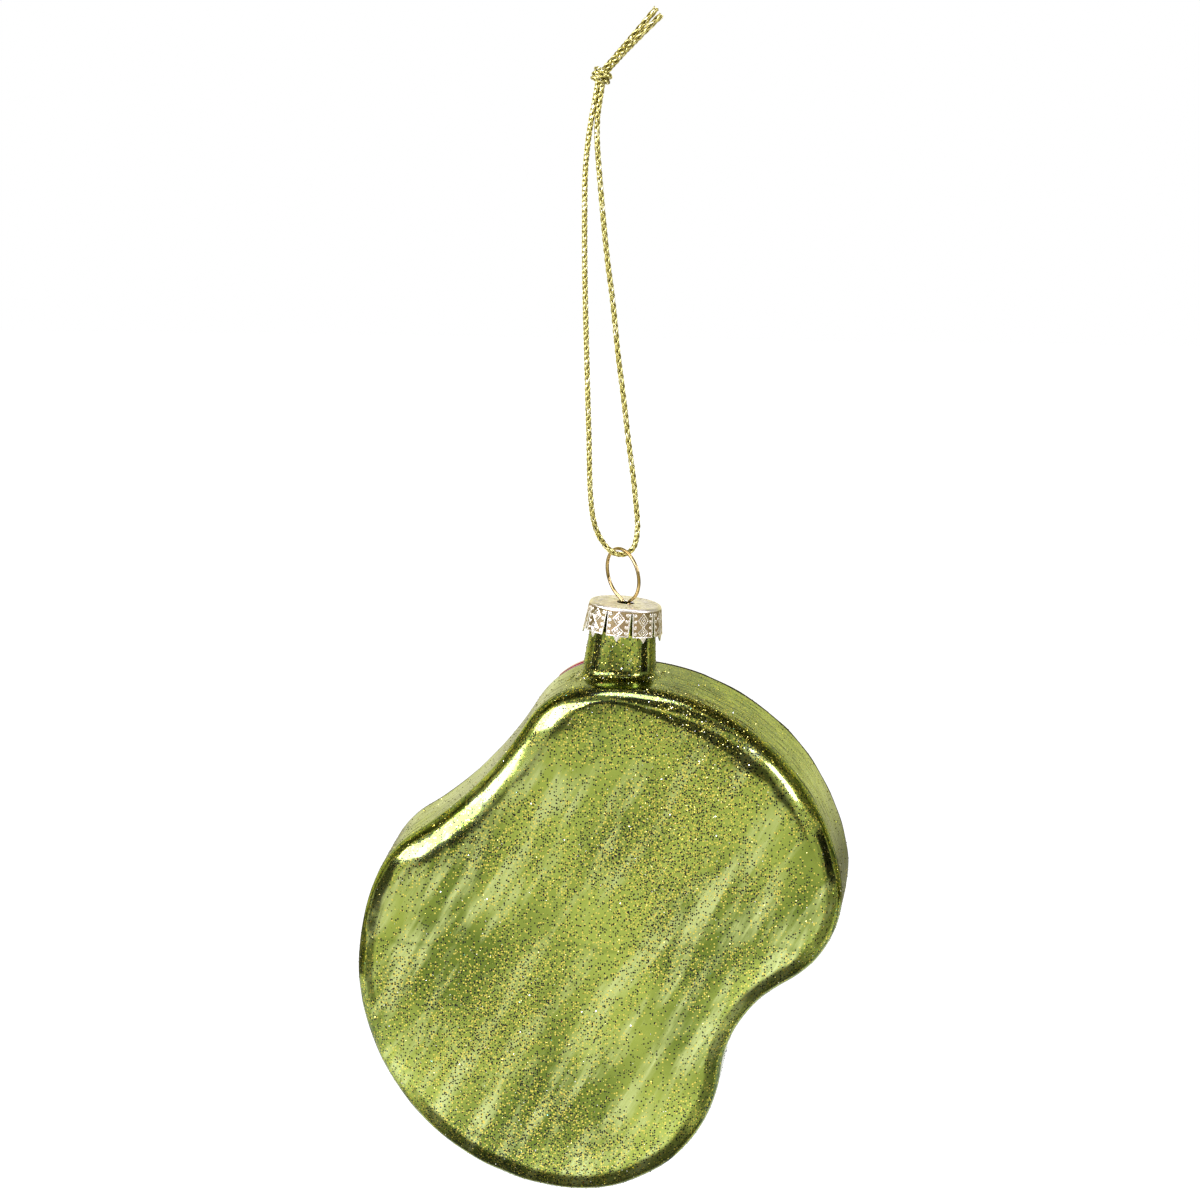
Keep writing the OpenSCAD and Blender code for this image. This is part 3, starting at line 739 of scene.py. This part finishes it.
def glassPiece():
    points, normals = outlinePoints()
    neckR, footR, boreR = glass["neckR"], glass["footR"], glass["boreR"]
    verts, faces, ids, turn, root, foot = skinWithNeckHole(points, normals, 0, footR, glass["flare"])

    def neckRing(r, z):
        return np.column_stack([r * np.cos(turn), r * np.sin(turn), np.broadcast_to(z, len(turn))])

    # up the flare and the neck, over the lip, and down to the inner skin
    flareTop = foot + np.array([0, 0, glass["flare"]])
    for t in np.linspace(0, 1, glass["flareRings"] + 1)[1:]:
        ids = bridge(verts, faces, ids, (1 - t)**2 * root + 2 * t * (1 - t) * foot + t * t * flareTop)
    lip = (neckR - boreR) / 2
    straightTop = glass["neckTop"] - lip
    low = flareTop[:, 2]
    for t in np.linspace(0, 1, glass["neckRings"] + 1)[1:]:
        z = low + t * (straightTop - low)
        taper = np.clip((z - low) / (glass["skirtEnd"] - low), 0, 1)
        ids = bridge(verts, faces, ids, neckRing(footR + (neckR - footR) * taper, z))
    outerCount = sum(len(v) for v in verts)
    for a in np.linspace(0, math.pi, glass["lipRings"] + 1)[1:]:
        ring = neckRing(boreR + lip + lip * math.cos(a), straightTop + lip * math.sin(a))
        ids = bridge(verts, faces, ids, ring)
    count = sum(len(v) for v in verts)
    inVerts, inFaces, inIds = skinWithNeckHole(points, normals, glass["wall"], boreR, 0)[:3]
    faces += [tuple(count + i for i in face) for face in inFaces]
    joinLoops(faces, ids, [count + i for i in inIds])

    # the points that lay in the neck's hole are dropped
    used = sorted({i for face in faces for i in face})
    renumbered = {old: new for new, old in enumerate(used)}
    faces = [tuple(renumbered[i] for i in face) for face in faces]
    local = np.vstack(verts + inVerts)[used]
    outerCount = sum(1 for i in used if i < outerCount)
    piece = makePiece("glassBody", asHung(local), faces, "glass", lacquerGreen, ["glass_body"])

    # the blown wall is never quite even: a slow swell along the normals, kept off the neck
    def swell(high, long):
        return np.array([high * noise.noise(Vector(p / long)) for p in local])

    x, y, z = np.abs(local[:, 0]), np.abs(local[:, 1]), local[:, 2]
    onEdge = smoothStep(y, *glass["edgeWaveIn"]) * (1 - smoothStep(y, *glass["edgeWaveOut"]))
    uneven = swell(*glass["wave"]) + onEdge * swell(*glass["edgeWave"])
    uneven *= 1 - smoothStep(z, *glass["calmAbove"]) * (x < glass["calmHalf"])
    mesh = piece.data
    outward = np.array([v.normal for v in mesh.vertices])
    moved = np.array([v.co for v in mesh.vertices]) + outward * (mm * uneven)[:, None]
    mesh.vertices.foreach_set("co", moved.ravel())
    mesh.update()
    return piece, outerCount, local


glassBody, outerCount, glassLocal = glassPiece()
print("glass body", len(glassBody.data.vertices), "points")


# Relief on the front: flag, flagstick, hole and ball

relief = {"stickX": 7, "stickD": 1.8, "stickTop": 14, "cupDrop": 60, "cupD": 12, "ballX": -13, "ballDrop": 72,
          "ballD": 9, "gap": 0.05, "sink": 0.05, "face": glass["depth"] / 2}
flagForm = {"length": 17, "height": 11, "thick": 2.6, "wave": 0.7, "inset": 0.3, "edge": 0.9, "sink": 0.3,
            "folds": 7.5, "foldSlant": 0.25, "foldDepth": 0.3, "alongSteps": 90, "downSteps": 60}


def flagPiece():
    # flag in low relief with a rounded edge and soft folds, cut to the top lobe
    lobeX, lobeZ, lobeR = glass["lobes"][1]
    start = relief["stickX"] - relief["stickD"] / 2 - relief["gap"]
    top = -relief["stickTop"] - flagForm["inset"]
    rows, columns = flagForm["alongSteps"], flagForm["downSteps"]
    u, v = np.linspace(0, 1, rows), np.linspace(0, 1, columns)
    x = start - u * flagForm["length"]
    ripple = flagForm["wave"] * np.sin(-2 * math.pi * u)
    reach = np.sqrt(np.maximum((lobeR - flagForm["inset"])**2 - (x - lobeX)**2, 0))
    high = np.minimum(top + ripple, lobeZ + reach)
    low = np.maximum(top - flagForm["height"] + ripple, lobeZ - reach)
    z = high[:, None] + (low - high)[:, None] * v[None, :]
    fromEdge = np.minimum(np.minimum(u, 1 - u)[:, None] * flagForm["length"],
                          np.minimum(v, 1 - v)[None, :] * (high - low)[:, None])
    rise = np.sqrt(1 - (1 - np.clip(fromEdge / flagForm["edge"], 0, 1))**2)
    folds = np.sin(2 * math.pi * (x[:, None] + flagForm["foldSlant"] * z) / flagForm["folds"])
    y = relief["face"] + flagForm["thick"] * rise + flagForm["foldDepth"] * (folds - 1) * rise
    front = np.column_stack([np.repeat(x, columns), y.ravel(), z.ravel()])

    # its back sinks a little into the glass, and follows the rounded edge there
    back = front.copy()
    edgeR = glass["edgeR"]
    inset = np.clip(lobeR - np.hypot(back[:, 0] - lobeX, back[:, 2] - lobeZ), 0, edgeR)
    back[:, 1] = relief["face"] - edgeR + np.sqrt(edgeR**2 - (edgeR - inset)**2) - flagForm["sink"]
    count = len(front)
    faces = gridFaces(rows, columns) + gridFaces(rows, columns, count)
    rim = ([j for j in range(columns)] + [i * columns + columns - 1 for i in range(1, rows)]
           + [(rows - 1) * columns + j for j in range(columns - 2, -1, -1)]
           + [i * columns for i in range(rows - 2, 0, -1)])
    for a, b in zip(rim, rim[1:] + rim[:1]):
        faces.append((a, b, b + count, a + count))
    return makePiece("reliefFlag", asHung(np.vstack([front, back])), faces, "glass", redEnamel,
                     ["flag"])


stickForm = {"steps": 80, "around": 18, "endR": 0.9, "uneven": 0.05, "unevenTurns": (1.7, 0.6),
             "thinnest": 0.02}


def stickPiece():
    # half-round rod with rounded ends, its paint line a little uneven
    length = relief["cupDrop"] - relief["stickTop"]
    along = length * (0.5 - 0.5 * np.cos(math.pi * np.linspace(0, 1, stickForm["steps"])))
    fromEnd = np.minimum(along, length - along)
    size = relief["stickD"] / 2 * np.sqrt(1 - (1 - np.clip(fromEnd / stickForm["endR"], 0, 1))**2)
    one, other = stickForm["unevenTurns"]
    uneven = 1 + stickForm["uneven"] * np.sin(along * one) * np.sin(along * other)
    size = np.maximum(size, stickForm["thinnest"]) * uneven
    a = np.linspace(0, math.pi, stickForm["around"])
    x = relief["stickX"] + size[:, None] * np.cos(a)
    y = relief["face"] - relief["sink"] + size[:, None] * np.sin(a)
    z = np.repeat(-relief["stickTop"] - along, len(a))
    points = np.column_stack([x.ravel(), y.ravel(), z])
    return makePiece("reliefFlagstick", asHung(points), tubeFaces(len(along), len(a)), "glass", whiteEnamel,
                     ["flagstick"])


ballForm = {"rings": 80, "around": 160, "firstRing": 0.5, "dimples": 150, "dimpleR": 0.42,
            "dimpleDepth": 0.13, "dimpleFlat": 0.35}


def ballPiece():
    # half a golf ball; the dimples lie on an even spiral over the whole ball
    r = relief["ballD"] / 2
    rings, around = ballForm["rings"], ballForm["around"]
    k = np.arange(ballForm["dimples"]) + 0.5
    lift = 1 - 2 * k / ballForm["dimples"]
    spin = k * math.pi * (1 + math.sqrt(5))
    flat = np.sqrt(1 - lift**2)
    centres = np.column_stack([flat * np.cos(spin), lift, flat * np.sin(spin)])
    tilt = np.linspace(ballForm["firstRing"], 90, rings)
    spread = np.linspace(0, 360, around, endpoint=False)
    t, s = np.meshgrid(np.radians(tilt), np.radians(spread), indexing="ij")
    way = np.stack([np.sin(t) * np.cos(s), np.cos(t), np.sin(t) * np.sin(s)], axis=-1).reshape(-1, 3)
    gap = r * np.arccos(np.clip((way @ centres.T).max(1), -1, 1))
    wide = ballForm["dimpleR"]
    dip = ballForm["dimpleDepth"] * (1 - smoothStep(gap, ballForm["dimpleFlat"] * wide, wide))
    middle = np.array([relief["ballX"], relief["face"], -relief["ballDrop"]])
    points = middle + way * (r - dip)[:, None]
    poles = middle + np.array([[0, r, 0], [0, -relief["sink"], 0]])
    count, last = len(points), (rings - 1) * around
    faces = gridFaces(rings, around, closed=True)
    for j in range(around):
        i = (j + 1) % around
        faces += [(count, j, i), (count + 1, last + i, last + j)]
    return makePiece("reliefBall", asHung(np.vstack([points, poles])), faces, "glass", whiteEnamel,
                     ["golf_ball"])


cupForm = {"rim": 1.0, "rise": 1.0, "floor": 0.4, "dish": 0.3, "floorRings": 8, "around": 96, "sides": 14,
           "bump": 0.03, "bumpTurns": (5, 3)}


def cupPieces():
    # the hole: a dark painted floor inside a raised white rim, which the stick crosses
    around, sides = cupForm["around"], cupForm["sides"]
    middle = np.array([relief["stickX"], relief["face"], -relief["cupDrop"]])
    tubeR = cupForm["rim"] / 2
    ringR = relief["cupD"] / 2 - tubeR
    turn, a = fullTurn(around), fullTurn(sides)
    way = np.column_stack([np.cos(turn), 0 * turn, np.sin(turn)])
    one, other = cupForm["bumpTurns"]
    uneven = 1 + cupForm["bump"] * np.sin(one * turn) * np.sin(other * turn + 1)
    across = (ringR + tubeR * np.cos(a)[None, :] * uneven[:, None])[..., None] * way[:, None]
    rise = (cupForm["rise"] - tubeR + tubeR * np.sin(a))[None, :] * uneven[:, None]
    rim = middle + across + rise[..., None] * yAxis
    faces = gridFaces(around, sides, closed=True)
    last = (around - 1) * sides
    for j in range(sides):
        k = (j + 1) % sides
        faces.append((last + j, last + k, k, j))
    makePiece("holeRim", asHung(rim), faces, "glass", whiteEnamel, ["hole_cup"])

    # the floor is dished a little, deeper in the middle
    floor, dish = cupForm["floor"], cupForm["dish"]
    shares = np.linspace(1, 0, cupForm["floorRings"] + 1)[:-1]
    rows = [middle + ringR * f * way + (floor - dish * (1 - f * f)) * yAxis for f in shares]
    points = np.vstack(rows + [middle + (floor - dish) * yAxis])
    faces = gridFaces(len(rows), around, closed=True)
    last = (len(rows) - 1) * around
    faces += [(last + j, last + (j + 1) % around, last + around) for j in range(around)]
    makePiece("holeFloor", asHung(points), faces, "glass", darkEnamel, ["hole_cup"])


flagPiece()
stickPiece()
ballPiece()
cupPieces()
print("relief")


# Glitter: foil flakes on the glass, thicker in drifts, round the neck's root and on the right shoulder

glitter = {
    "count": 18000, "size": (0.06, 0.105), "sides": 6, "lift": 0.03, "tilt": 32, "tiltSpread": 0.6,
    "base": 0.6, "cloud": (1.3, 12), "cloudAt": (3, 1, 8), "cloudRange": (0.0, 0.55), "drifts": 2,
    "neckR": 6.6, "neckLow": -11.5, "onNeck": (0.2, 0.9, 3),      # at its sides, more in its middle, spread
    "root": (8, 6.8, 1.3, -16),                # how many more, radius, spread, lowest
    "shoulder": (11, 14, -11, 60, 14, -34),    # how many more, x, y, spreads, lowest
    "backTo": 5, "backShare": 1.9,
    "frontSkin": 0.5, "stickHalf": 1, "flagReach": 18, "flagLow": -27,    # none under the relief
}


def glitterCrowd(local):
    # how thick the flakes lie at each place on the glass
    x, y, z = local.T
    fromAxis = np.hypot(x, y)
    more, size = glitter["cloud"]
    cloud = np.array([noise.noise(Vector(p / size) + Vector(glitter["cloudAt"])) for p in local])
    crowd = glitter["base"] + more * smoothStep(cloud, *glitter["cloudRange"])
    for driftX, driftZ, spread, share in lacquer["drifts"]:
        off = (x - driftX)**2 + (z - driftZ)**2
        crowd += glitter["drifts"] * share * np.exp(-off / (2 * spread**2))
    few, more, spread = glitter["onNeck"]
    onNeck = (fromAxis < glitter["neckR"]) & (z > glitter["neckLow"])
    crowd = np.where(onNeck, few + more * np.exp(-(x / spread)**2), crowd)
    more, radius, spread, low = glitter["root"]
    crowd += more * np.exp(-((fromAxis - radius) / spread)**2) * (z > low)
    more, overX, overY, wide, deep, low = glitter["shoulder"]
    crowd += more * np.exp(-((x - overX)**2 / wide + (y - overY)**2 / deep)) * (z > low)
    crowd *= np.where(y < glitter["backTo"], glitter["backShare"], 1)

    stickX = relief["stickX"]
    onFront = y > relief["face"] - glitter["frontSkin"]
    onBall = np.hypot(x - relief["ballX"], z + relief["ballDrop"]) < relief["ballD"] / 2
    onCup = np.hypot(x - stickX, z + relief["cupDrop"]) < relief["cupD"] / 2
    onStick = (np.abs(x - stickX) < glitter["stickHalf"]) & (z > -relief["cupDrop"])
    onFlag = (x < stickX) & (x > stickX - glitter["flagReach"]) & (z > glitter["flagLow"])
    return crowd * ~(onFront & (onBall | onCup | onStick | onFlag))


def glitterPiece():
    mesh = glassBody.data
    count, sides = glitter["count"], glitter["sides"]
    quads = [p.vertices[:] for p in mesh.polygons if len(p.vertices) == 4 and max(p.vertices) < outerCount]
    quads = np.array(quads)
    corner = np.array([v.co for v in mesh.vertices])[quads] / mm
    ab, ad = corner[:, 1] - corner[:, 0], corner[:, 3] - corner[:, 0]
    weight = np.linalg.norm(np.cross(ab, ad), axis=1) * glitterCrowd(glassLocal[quads].mean(1))
    pick = rng.choice(len(quads), count, p=weight / weight.sum())
    s, t = rng.random((2, count, 1))
    low = corner[pick, 0] * (1 - s) + corner[pick, 1] * s
    high = corner[pick, 3] * (1 - s) + corner[pick, 2] * s
    normal = unit(np.cross(ab[pick], ad[pick]))
    outward = np.array([mesh.vertices[q[0]].normal for q in quads[pick]])
    normal *= np.sign((normal * outward).sum(1, keepdims=True))
    slant = math.tan(math.radians(glitter["tilt"])) * rng.normal(0, glitter["tiltSpread"], normal.shape)
    tipped = unit(normal + slant)
    centre = low * (1 - t) + high * t + normal * glitter["lift"]
    side = unit(np.cross(tipped, unit(rng.normal(size=tipped.shape))))
    other = np.cross(tipped, side)
    r = rng.uniform(*glitter["size"], (count, 1))
    rim = [centre + r * (math.cos(a) * side + math.sin(a) * other) for a in fullTurn(sides)]
    points = np.stack(rim, axis=1).reshape(-1, 3)
    faces = [tuple(range(sides * k, sides * (k + 1))) for k in range(count)]
    tone = np.repeat(rng.random(count), sides)
    return makePiece("glitterFlakes", points, faces, "glass", flakeGold, smooth=False,
                     marks={"tone": tone})


glitterPiece()
print("glitter")


# Crown cap: a stamped sheet with nine embossed petals and a wrinkled top

cap = {
    "r": 6.0, "sheet": 0.25, "edgeR": 0.5, "flare": 0.55, "holeR": 1.5,
    "petals": 9, "petalDepth": 4.6, "petalHalf": 2.05, "pointL": 0.9, "pointW": 1.2,
    "slitTop": 0.22, "slitEnd": 0.65, "slitStart": 0.7, "slitTurn": -74,
    "bend": (-0.12, 0.2), "bendShare": 0.6,
    "columns": 66, "rows": 76, "topRows": 22, "edgeRows": 5,
    "emboss": 0.075, "embossFrom": (0.5, 0.8), "crisp": 1.35,
    "diamonds": [(1.75, 0.92, 1.12), (3.75, 0.92, 0.88)],       # depth, half width, half height
    "line": 0.105, "innerDiamond": (0.5, 0.85), "middleDot": 0.16, "rimLine": (0.08, 0.14),
    "dotAt": 1.45, "dotDepths": (1.0, 2.0, 3.0, 4.0), "dotR": 0.27, "dotRing": (0.62, 0.5),
    "wrinkle": 0.07, "ripple": (1.1, 1.6), "rippleSlice": 2.0, "rippleFrom": (1.5, 2.1),
    "flutes": 45, "fluteShare": 0.35, "fluteFrom": (2.2, 4.5),
    # topTone: the top plate's tone, and how much lighter its ripple crests are painted
    "topTone": (0.75, 0.25), "edgeTone": 0.6,
}


def petalPattern(x, depth, halfWidth):
    # raised share, 0 to 1: two diamonds with a smaller one inside each, dots beside them and a rim
    raised = np.zeros_like(x)

    def line(distance, width):
        return np.clip(cap["crisp"] * (1 - (distance / width)**2), 0, 1)

    smaller, finer = cap["innerDiamond"]
    for middle, a, b in cap["diamonds"]:
        for share, width in ((1.0, cap["line"]), (smaller, cap["line"] * finer)):
            off = np.abs(x) / (a * share) + np.abs(depth - middle) / (b * share) - 1
            raised = np.maximum(raised, line(np.abs(off * a * b * share / math.hypot(a, b)), width))
        raised = np.maximum(raised, line(np.hypot(x, depth - middle), cap["middleDot"]))
    ring, ringWide = (cap["dotR"] * share for share in cap["dotRing"])
    for middle in cap["dotDepths"]:
        off = np.hypot(np.abs(x) - cap["dotAt"], depth - middle)
        raised = np.maximum(raised, line(np.abs(off - ring), ringWide))
    rim = np.minimum(halfWidth - np.abs(x), cap["petalDepth"] - depth)
    inset, width = cap["rimLine"]
    return np.maximum(raised, line(np.maximum(rim - inset, 0), width) * (depth > cap["slitStart"]))


def capPiece():
    petals, columns, topRows, edgeRows = cap["petals"], cap["columns"], cap["topRows"], cap["edgeRows"]
    capR, edgeR, holeR, petalDepth = cap["r"], cap["edgeR"], cap["holeR"], cap["petalDepth"]
    pitch = 2 * math.pi / petals
    u = np.linspace(-1, 1, columns)
    point = np.clip(1 - np.abs(u) * cap["petalHalf"] / (cap["pointW"] / 2), 0, 1)
    endDepth = petalDepth + cap["pointL"] * point
    points, marks = [], []
    rowCount = topRows + edgeRows + cap["rows"]
    slitRow = None
    for p in range(petals):
        middle = math.radians(cap["slitTurn"]) + (p + 0.5) * pitch
        bend = rng.uniform(*cap["bend"])
        topTurn = middle + u * (pitch / 2 - cap["slitTop"] / 2 / capR)
        for i in range(rowCount):
            a = topTurn
            if i < topRows:
                # the top plate, from the hole outwards
                r = np.full(columns, holeR + i / topRows * (capR - edgeR - holeR))
                often, high = cap["ripple"]
                level = np.full(columns, cap["rippleSlice"])
                places = np.column_stack([np.cos(a) * r * often, np.sin(a) * r * often, level])
                ripple = np.array([noise.noise(Vector(place)) for place in places])
                flute = np.sin(a * cap["flutes"]) * cap["fluteShare"] * smoothStep(r, *cap["fluteFrom"])
                z = cap["wrinkle"] * (ripple * high + flute) * smoothStep(r, *cap["rippleFrom"])
                # painted highlight: the top plate is lighter where its ripples rise
                plain, more = cap["topTone"]
                raised = plain + more * ripple
            elif i < topRows + edgeRows:
                # the pressed edge
                t = (i - topRows) / edgeRows * math.pi / 2
                r = np.full(columns, capR - edgeR + edgeR * math.sin(t))
                z = np.full(columns, -edgeR * (1 - math.cos(t)))
                raised = np.full(columns, cap["edgeTone"])
            else:
                # the skirt, each column down to its own end
                t = (i - topRows - edgeRows) / (cap["rows"] - 1)
                depth = edgeR + t * (endDepth - edgeR)
                down = np.clip((depth - cap["slitStart"]) / (petalDepth - cap["slitStart"]), 0, 1)
                if slitRow is None and down.max() > 0:
                    slitRow = i - 1
                slit = cap["slitTop"] + (cap["slitEnd"] - cap["slitTop"]) * down
                flared = capR + cap["flare"] * (depth - edgeR) / (petalDepth + cap["pointL"] - edgeR)
                halfTurn = pitch / 2 - slit / 2 / flared
                a = middle + u * halfTurn
                half = halfTurn * flared
                raised = petalPattern(u * half, depth, half)
                pressed = cap["emboss"] * (raised - 0.5) * smoothStep(depth, *cap["embossFrom"])
                r = flared + pressed + bend * down**2 * cap["bendShare"]
                z = -depth
            points.append(np.column_stack([r * np.cos(a), r * np.sin(a), z]))
            marks.append(raised)
    faces = []
    for p in range(petals):
        start = p * rowCount * columns
        faces += gridFaces(rowCount, columns, start)
        after = (p + 1) % petals * rowCount * columns
        for i in range(slitRow):
            a, b = start + i * columns + columns - 1, after + i * columns
            faces.append((a, b, b + columns, a + columns))
    piece = makePiece("crownCap", asHung(np.vstack(points)), faces, "cap", capGold, ["crown_cap"],
                      marks={"emboss": np.concatenate(marks)})
    sheet = piece.modifiers.new("sheet", "SOLIDIFY")
    sheet.thickness = cap["sheet"] * mm
    sheet.offset = -1
    bpy.context.view_layer.objects.active = piece
    with bpy.context.temp_override(object=piece, active_object=piece):
        bpy.ops.object.modifier_apply(modifier=sheet.name)
    return piece


capPiece()
print("crown cap")


# Hanger: one length of wire bent into an eye, with two sprung legs down the neck

wire = {"d": 0.6, "eyeD": 8.6, "eyeHeight": 9, "eyeSteps": 19, "pinch": 0.75, "legL": 12, "toeL": 1.8,
        "legGap": 0.2, "lean": 5.5, "turn": 48, "sides": 14, "step": 0.22, "worn": 0.05,
        "wornTurns": (0.9, 0.37)}


def wirePiece():
    lean, turn = math.radians(wire["lean"]), math.radians(wire["turn"])
    eyeAxis = np.array([-math.sin(lean), 0, math.cos(lean)])
    eyeSide = np.array([math.cos(turn), -math.sin(turn), 0])
    r, pinch, half, legL, toeL = wire["eyeD"] / 2, wire["pinch"], wire["d"] / 2, wire["legL"], wire["toeL"]
    middle = wire["eyeHeight"] - r
    first = math.acos(r / math.hypot(pinch, middle)) - math.atan2(middle, pinch)
    legS = glass["boreR"] - wire["legGap"] - half
    leg = [(legS - toeL / 2, -legL - toeL), (legS, -legL), ((legS + pinch) / 2, -legL / 2),
           (pinch + half, -wire["d"]), (pinch, 0), (pinch + half, half)]
    bends = np.linspace(first, math.pi / 2, wire["eyeSteps"])
    right = leg + [(r * math.cos(a), middle + r * math.sin(a)) for a in bends]
    flat = right + [(-s, h) for s, h in reversed(right[:-1])]
    route = [capTop + s * eyeSide + h * (eyeAxis if h > 0 else neckAxis) for s, h in flat]
    path, along = smoothPath(route, wire["step"])
    u, v = carriedFrame(path)
    around = fullTurn(wire["sides"])
    one, other = wire["wornTurns"]
    worn = half * (1 - wire["worn"] * (0.5 + 0.5 * np.sin(along * one) * np.sin(along * other + 1)))
    ring = path[:, None] + worn[:, None, None] * (np.cos(around)[None, :, None] * u[:, None]
                                                  + np.sin(around)[None, :, None] * v[:, None])
    return makePiece("hangerWire", ring.reshape(-1, 3), tubeFaces(len(path), wire["sides"]), "hanger",
                     wireGold, ["hanger_wire"])


wirePiece()
print("hanger")


# Studio: white world and floor, soft boxes, and cards and a dim room that only reflections see

studio = {
    "world": 0.7, "floorZ": -600, "floorSize": 8000, "floorTone": 0.5, "floorGlow": 0.76,
    "middleZ": -134, "neckZ": -92,
    "boxes": {   # azimuth, elevation, distance, width, height, watts, seen in reflections
        "leftBox": (-51, 33, 900, 1060, 370, 12.5, True),
        "topBox": (160, 80, 900, 460, 260, 5.0, True),
        "rightBox": (68, 33, 900, 220, 300, 3.6, True),
        "backBox": (165, 30, 1200, 600, 500, 6.0, False),
    },
    "boxTint": (0.8, 0.82, 1.36),
    "cards": {   # azimuth, elevation, distance, width, height, how bright the middle looks in a reflection
        "frontCard": (4, 21, 1500, 3000, 1200, 0.13),
        "topCard": (44, 66, 1100, 1000, 760, 0.16),
        "underCard": (0, -90, 300, 620, 520, 0.18),
        "rightCard": (84, -24, 420, 460, 760, 0.5),
        "leftCard": (-72, -11, 760, 560, 420, 0.45),
    },
    "neckCards": {   # the same, measured from the neck
        "neckLeft": (-82, -7, 150, 110, 84, 0.1),
        "neckRight": (88, -9, 150, 96, 56, 0.03),
    },
    "soft": 0.42, "cardSteps": 25,
}
room = {
    "azimuth": (84, 268), "elevation": (-55, 88), "steps": (47, 37), "distance": 1600,
    "tint": (1, 0.97, 0.66, 1),
    "back": 1.3, "backReach": (22, 60), "sides": 0.36,      # how bright, and how far from straight behind
    "top": 0.12, "topFrom": (10, 50), "low": 0.3, "lowTo": (-11, -4),
    "window": 1.3, "windowFrom": (181, 196), "windowTo": (214, 246), "windowTop": (24, 52),
    "openSide": 14, "openTop": (30, 70),                    # where it gives way to the white world
}
white = (1, 1, 1, 1)


def facing(obj, middleZ, azimuth, elevation, distance):
    back = Vector(direction(azimuth, elevation))
    obj.location = (Vector((0, 0, middleZ)) + back * distance) * mm
    obj.rotation_euler = back.to_track_quat("Z", "Y").to_euler()


def seenWhite(tree):
    # 1 for rays from the camera, from gloss and through glass
    rays = addNode(tree, "ShaderNodeLightPath").outputs
    return maths(tree, "MAXIMUM", rays["Is Camera Ray"],
                 maths(tree, "MAXIMUM", rays["Is Glossy Ray"], rays["Is Transmission Ray"]))


def flatGlow(name, tone, tint):
    # a dull surface whose own glow is linked by the caller
    return newMaterial(name, Base_Color=(tone, tone, tone, 1), Roughness=1.0, Specular_IOR_Level=0.0,
                       Emission_Color=tint)


def levelCloth(name, tint):
    # cloth that a reflection sees at the brightness stored on its points
    material, tree, shader = flatGlow(name, 0, tint)
    feed(tree, shader, Emission_Strength=stored(tree, "level"))
    return material


def reflectedOnly(name, points, rows, columns, levels, material):
    card = addObject(name, newMesh(name, points, gridFaces(rows, columns), material, {"level": levels}))
    card.visible_camera = False
    card.visible_diffuse = False
    card.visible_shadow = False
    return card


def softCard(name, wide, high, level, material):
    # dark in the middle and white, like the world, at its edge
    steps, soft = studio["cardSteps"], studio["soft"]
    x, y = np.meshgrid(np.linspace(-1, 1, steps), np.linspace(-1, 1, steps), indexing="ij")
    fade = np.maximum(smoothStep(np.abs(x), 1 - soft, 1), smoothStep(np.abs(y), 1 - soft, 1))
    points = np.stack([x * wide / 2, y * high / 2, 0 * x], axis=-1).reshape(-1, 3)
    return reflectedOnly(name, points, steps, steps, (level + (1 - level) * fade).ravel(), material)


def roomBehind():
    # the dim room: brightest straight behind and in its window, darker to the sides, low down and overhead
    rows, columns = room["steps"]
    az, el = np.meshgrid(np.linspace(*room["azimuth"], rows), np.linspace(*room["elevation"], columns),
                         indexing="ij")
    behind = 1 - smoothStep(np.abs(az - 180), *room["backReach"])
    level = room["sides"] + (room["back"] - room["sides"]) * behind
    level += (room["top"] - level) * smoothStep(el, *room["topFrom"])
    window = (smoothStep(az, *room["windowFrom"]) * (1 - smoothStep(az, *room["windowTo"]))
              * (1 - smoothStep(el, *room["windowTop"])))
    level += (room["window"] - level) * window
    level += (room["low"] - level) * (1 - smoothStep(el, *room["lowTo"]))
    first, last = room["azimuth"]
    fromSide = np.minimum(az - first, last - az)
    opened = (1 - smoothStep(fromSide, 0, room["openSide"])) * (1 - smoothStep(el, *room["openTop"]))
    level += (1 - level) * opened
    points = direction(az, el).reshape(-1, 3) * room["distance"]
    cloth = levelCloth("roomCloth", room["tint"])
    dome = reflectedOnly("roomBehind", points, rows, columns, level.ravel(), cloth)
    dome.location.z = studio["middleZ"] * mm


def setStudio():
    scene.view_settings.view_transform = "Standard"
    scene.world = bpy.data.worlds.new("studio")
    scene.world.use_nodes = True
    tree = scene.world.node_tree
    feed(tree, tree.nodes["Background"], Color=white,
         Strength=ranged(tree, seenWhite(tree), 0, 1, studio["world"], 1.0))

    pale, tree, shader = flatGlow("paleFloor", studio["floorTone"], white)
    feed(tree, shader, Emission_Strength=ranged(tree, seenWhite(tree), 0, 1, 0.0, studio["floorGlow"]))
    half = studio["floorSize"] / 2
    corners = [(-half, -half, 0), (half, -half, 0), (half, half, 0), (-half, half, 0)]
    floor = addObject("floor", newMesh("floor", corners, [(0, 1, 2, 3)], pale))
    floor.location.z = studio["floorZ"] * mm

    cloth = levelCloth("flagCloth", white)
    for group, z in (("cards", studio["middleZ"]), ("neckCards", studio["neckZ"])):
        for name, (azimuth, elevation, distance, wide, high, level) in studio[group].items():
            facing(softCard(name, wide, high, level, cloth), z, azimuth, elevation, distance)
    roomBehind()

    for name, (azimuth, elevation, distance, wide, high, watts, mirrored) in studio["boxes"].items():
        light = bpy.data.lights.new(name, "AREA")
        light.shape = "RECTANGLE"
        light.size, light.size_y = wide * mm, high * mm
        light.energy = watts
        light.color = studio["boxTint"]
        lamp = addObject(name, light)
        facing(lamp, studio["middleZ"], azimuth, elevation, distance)
        lamp.visible_camera = False
        lamp.visible_glossy = mirrored


setStudio()
print("studio")
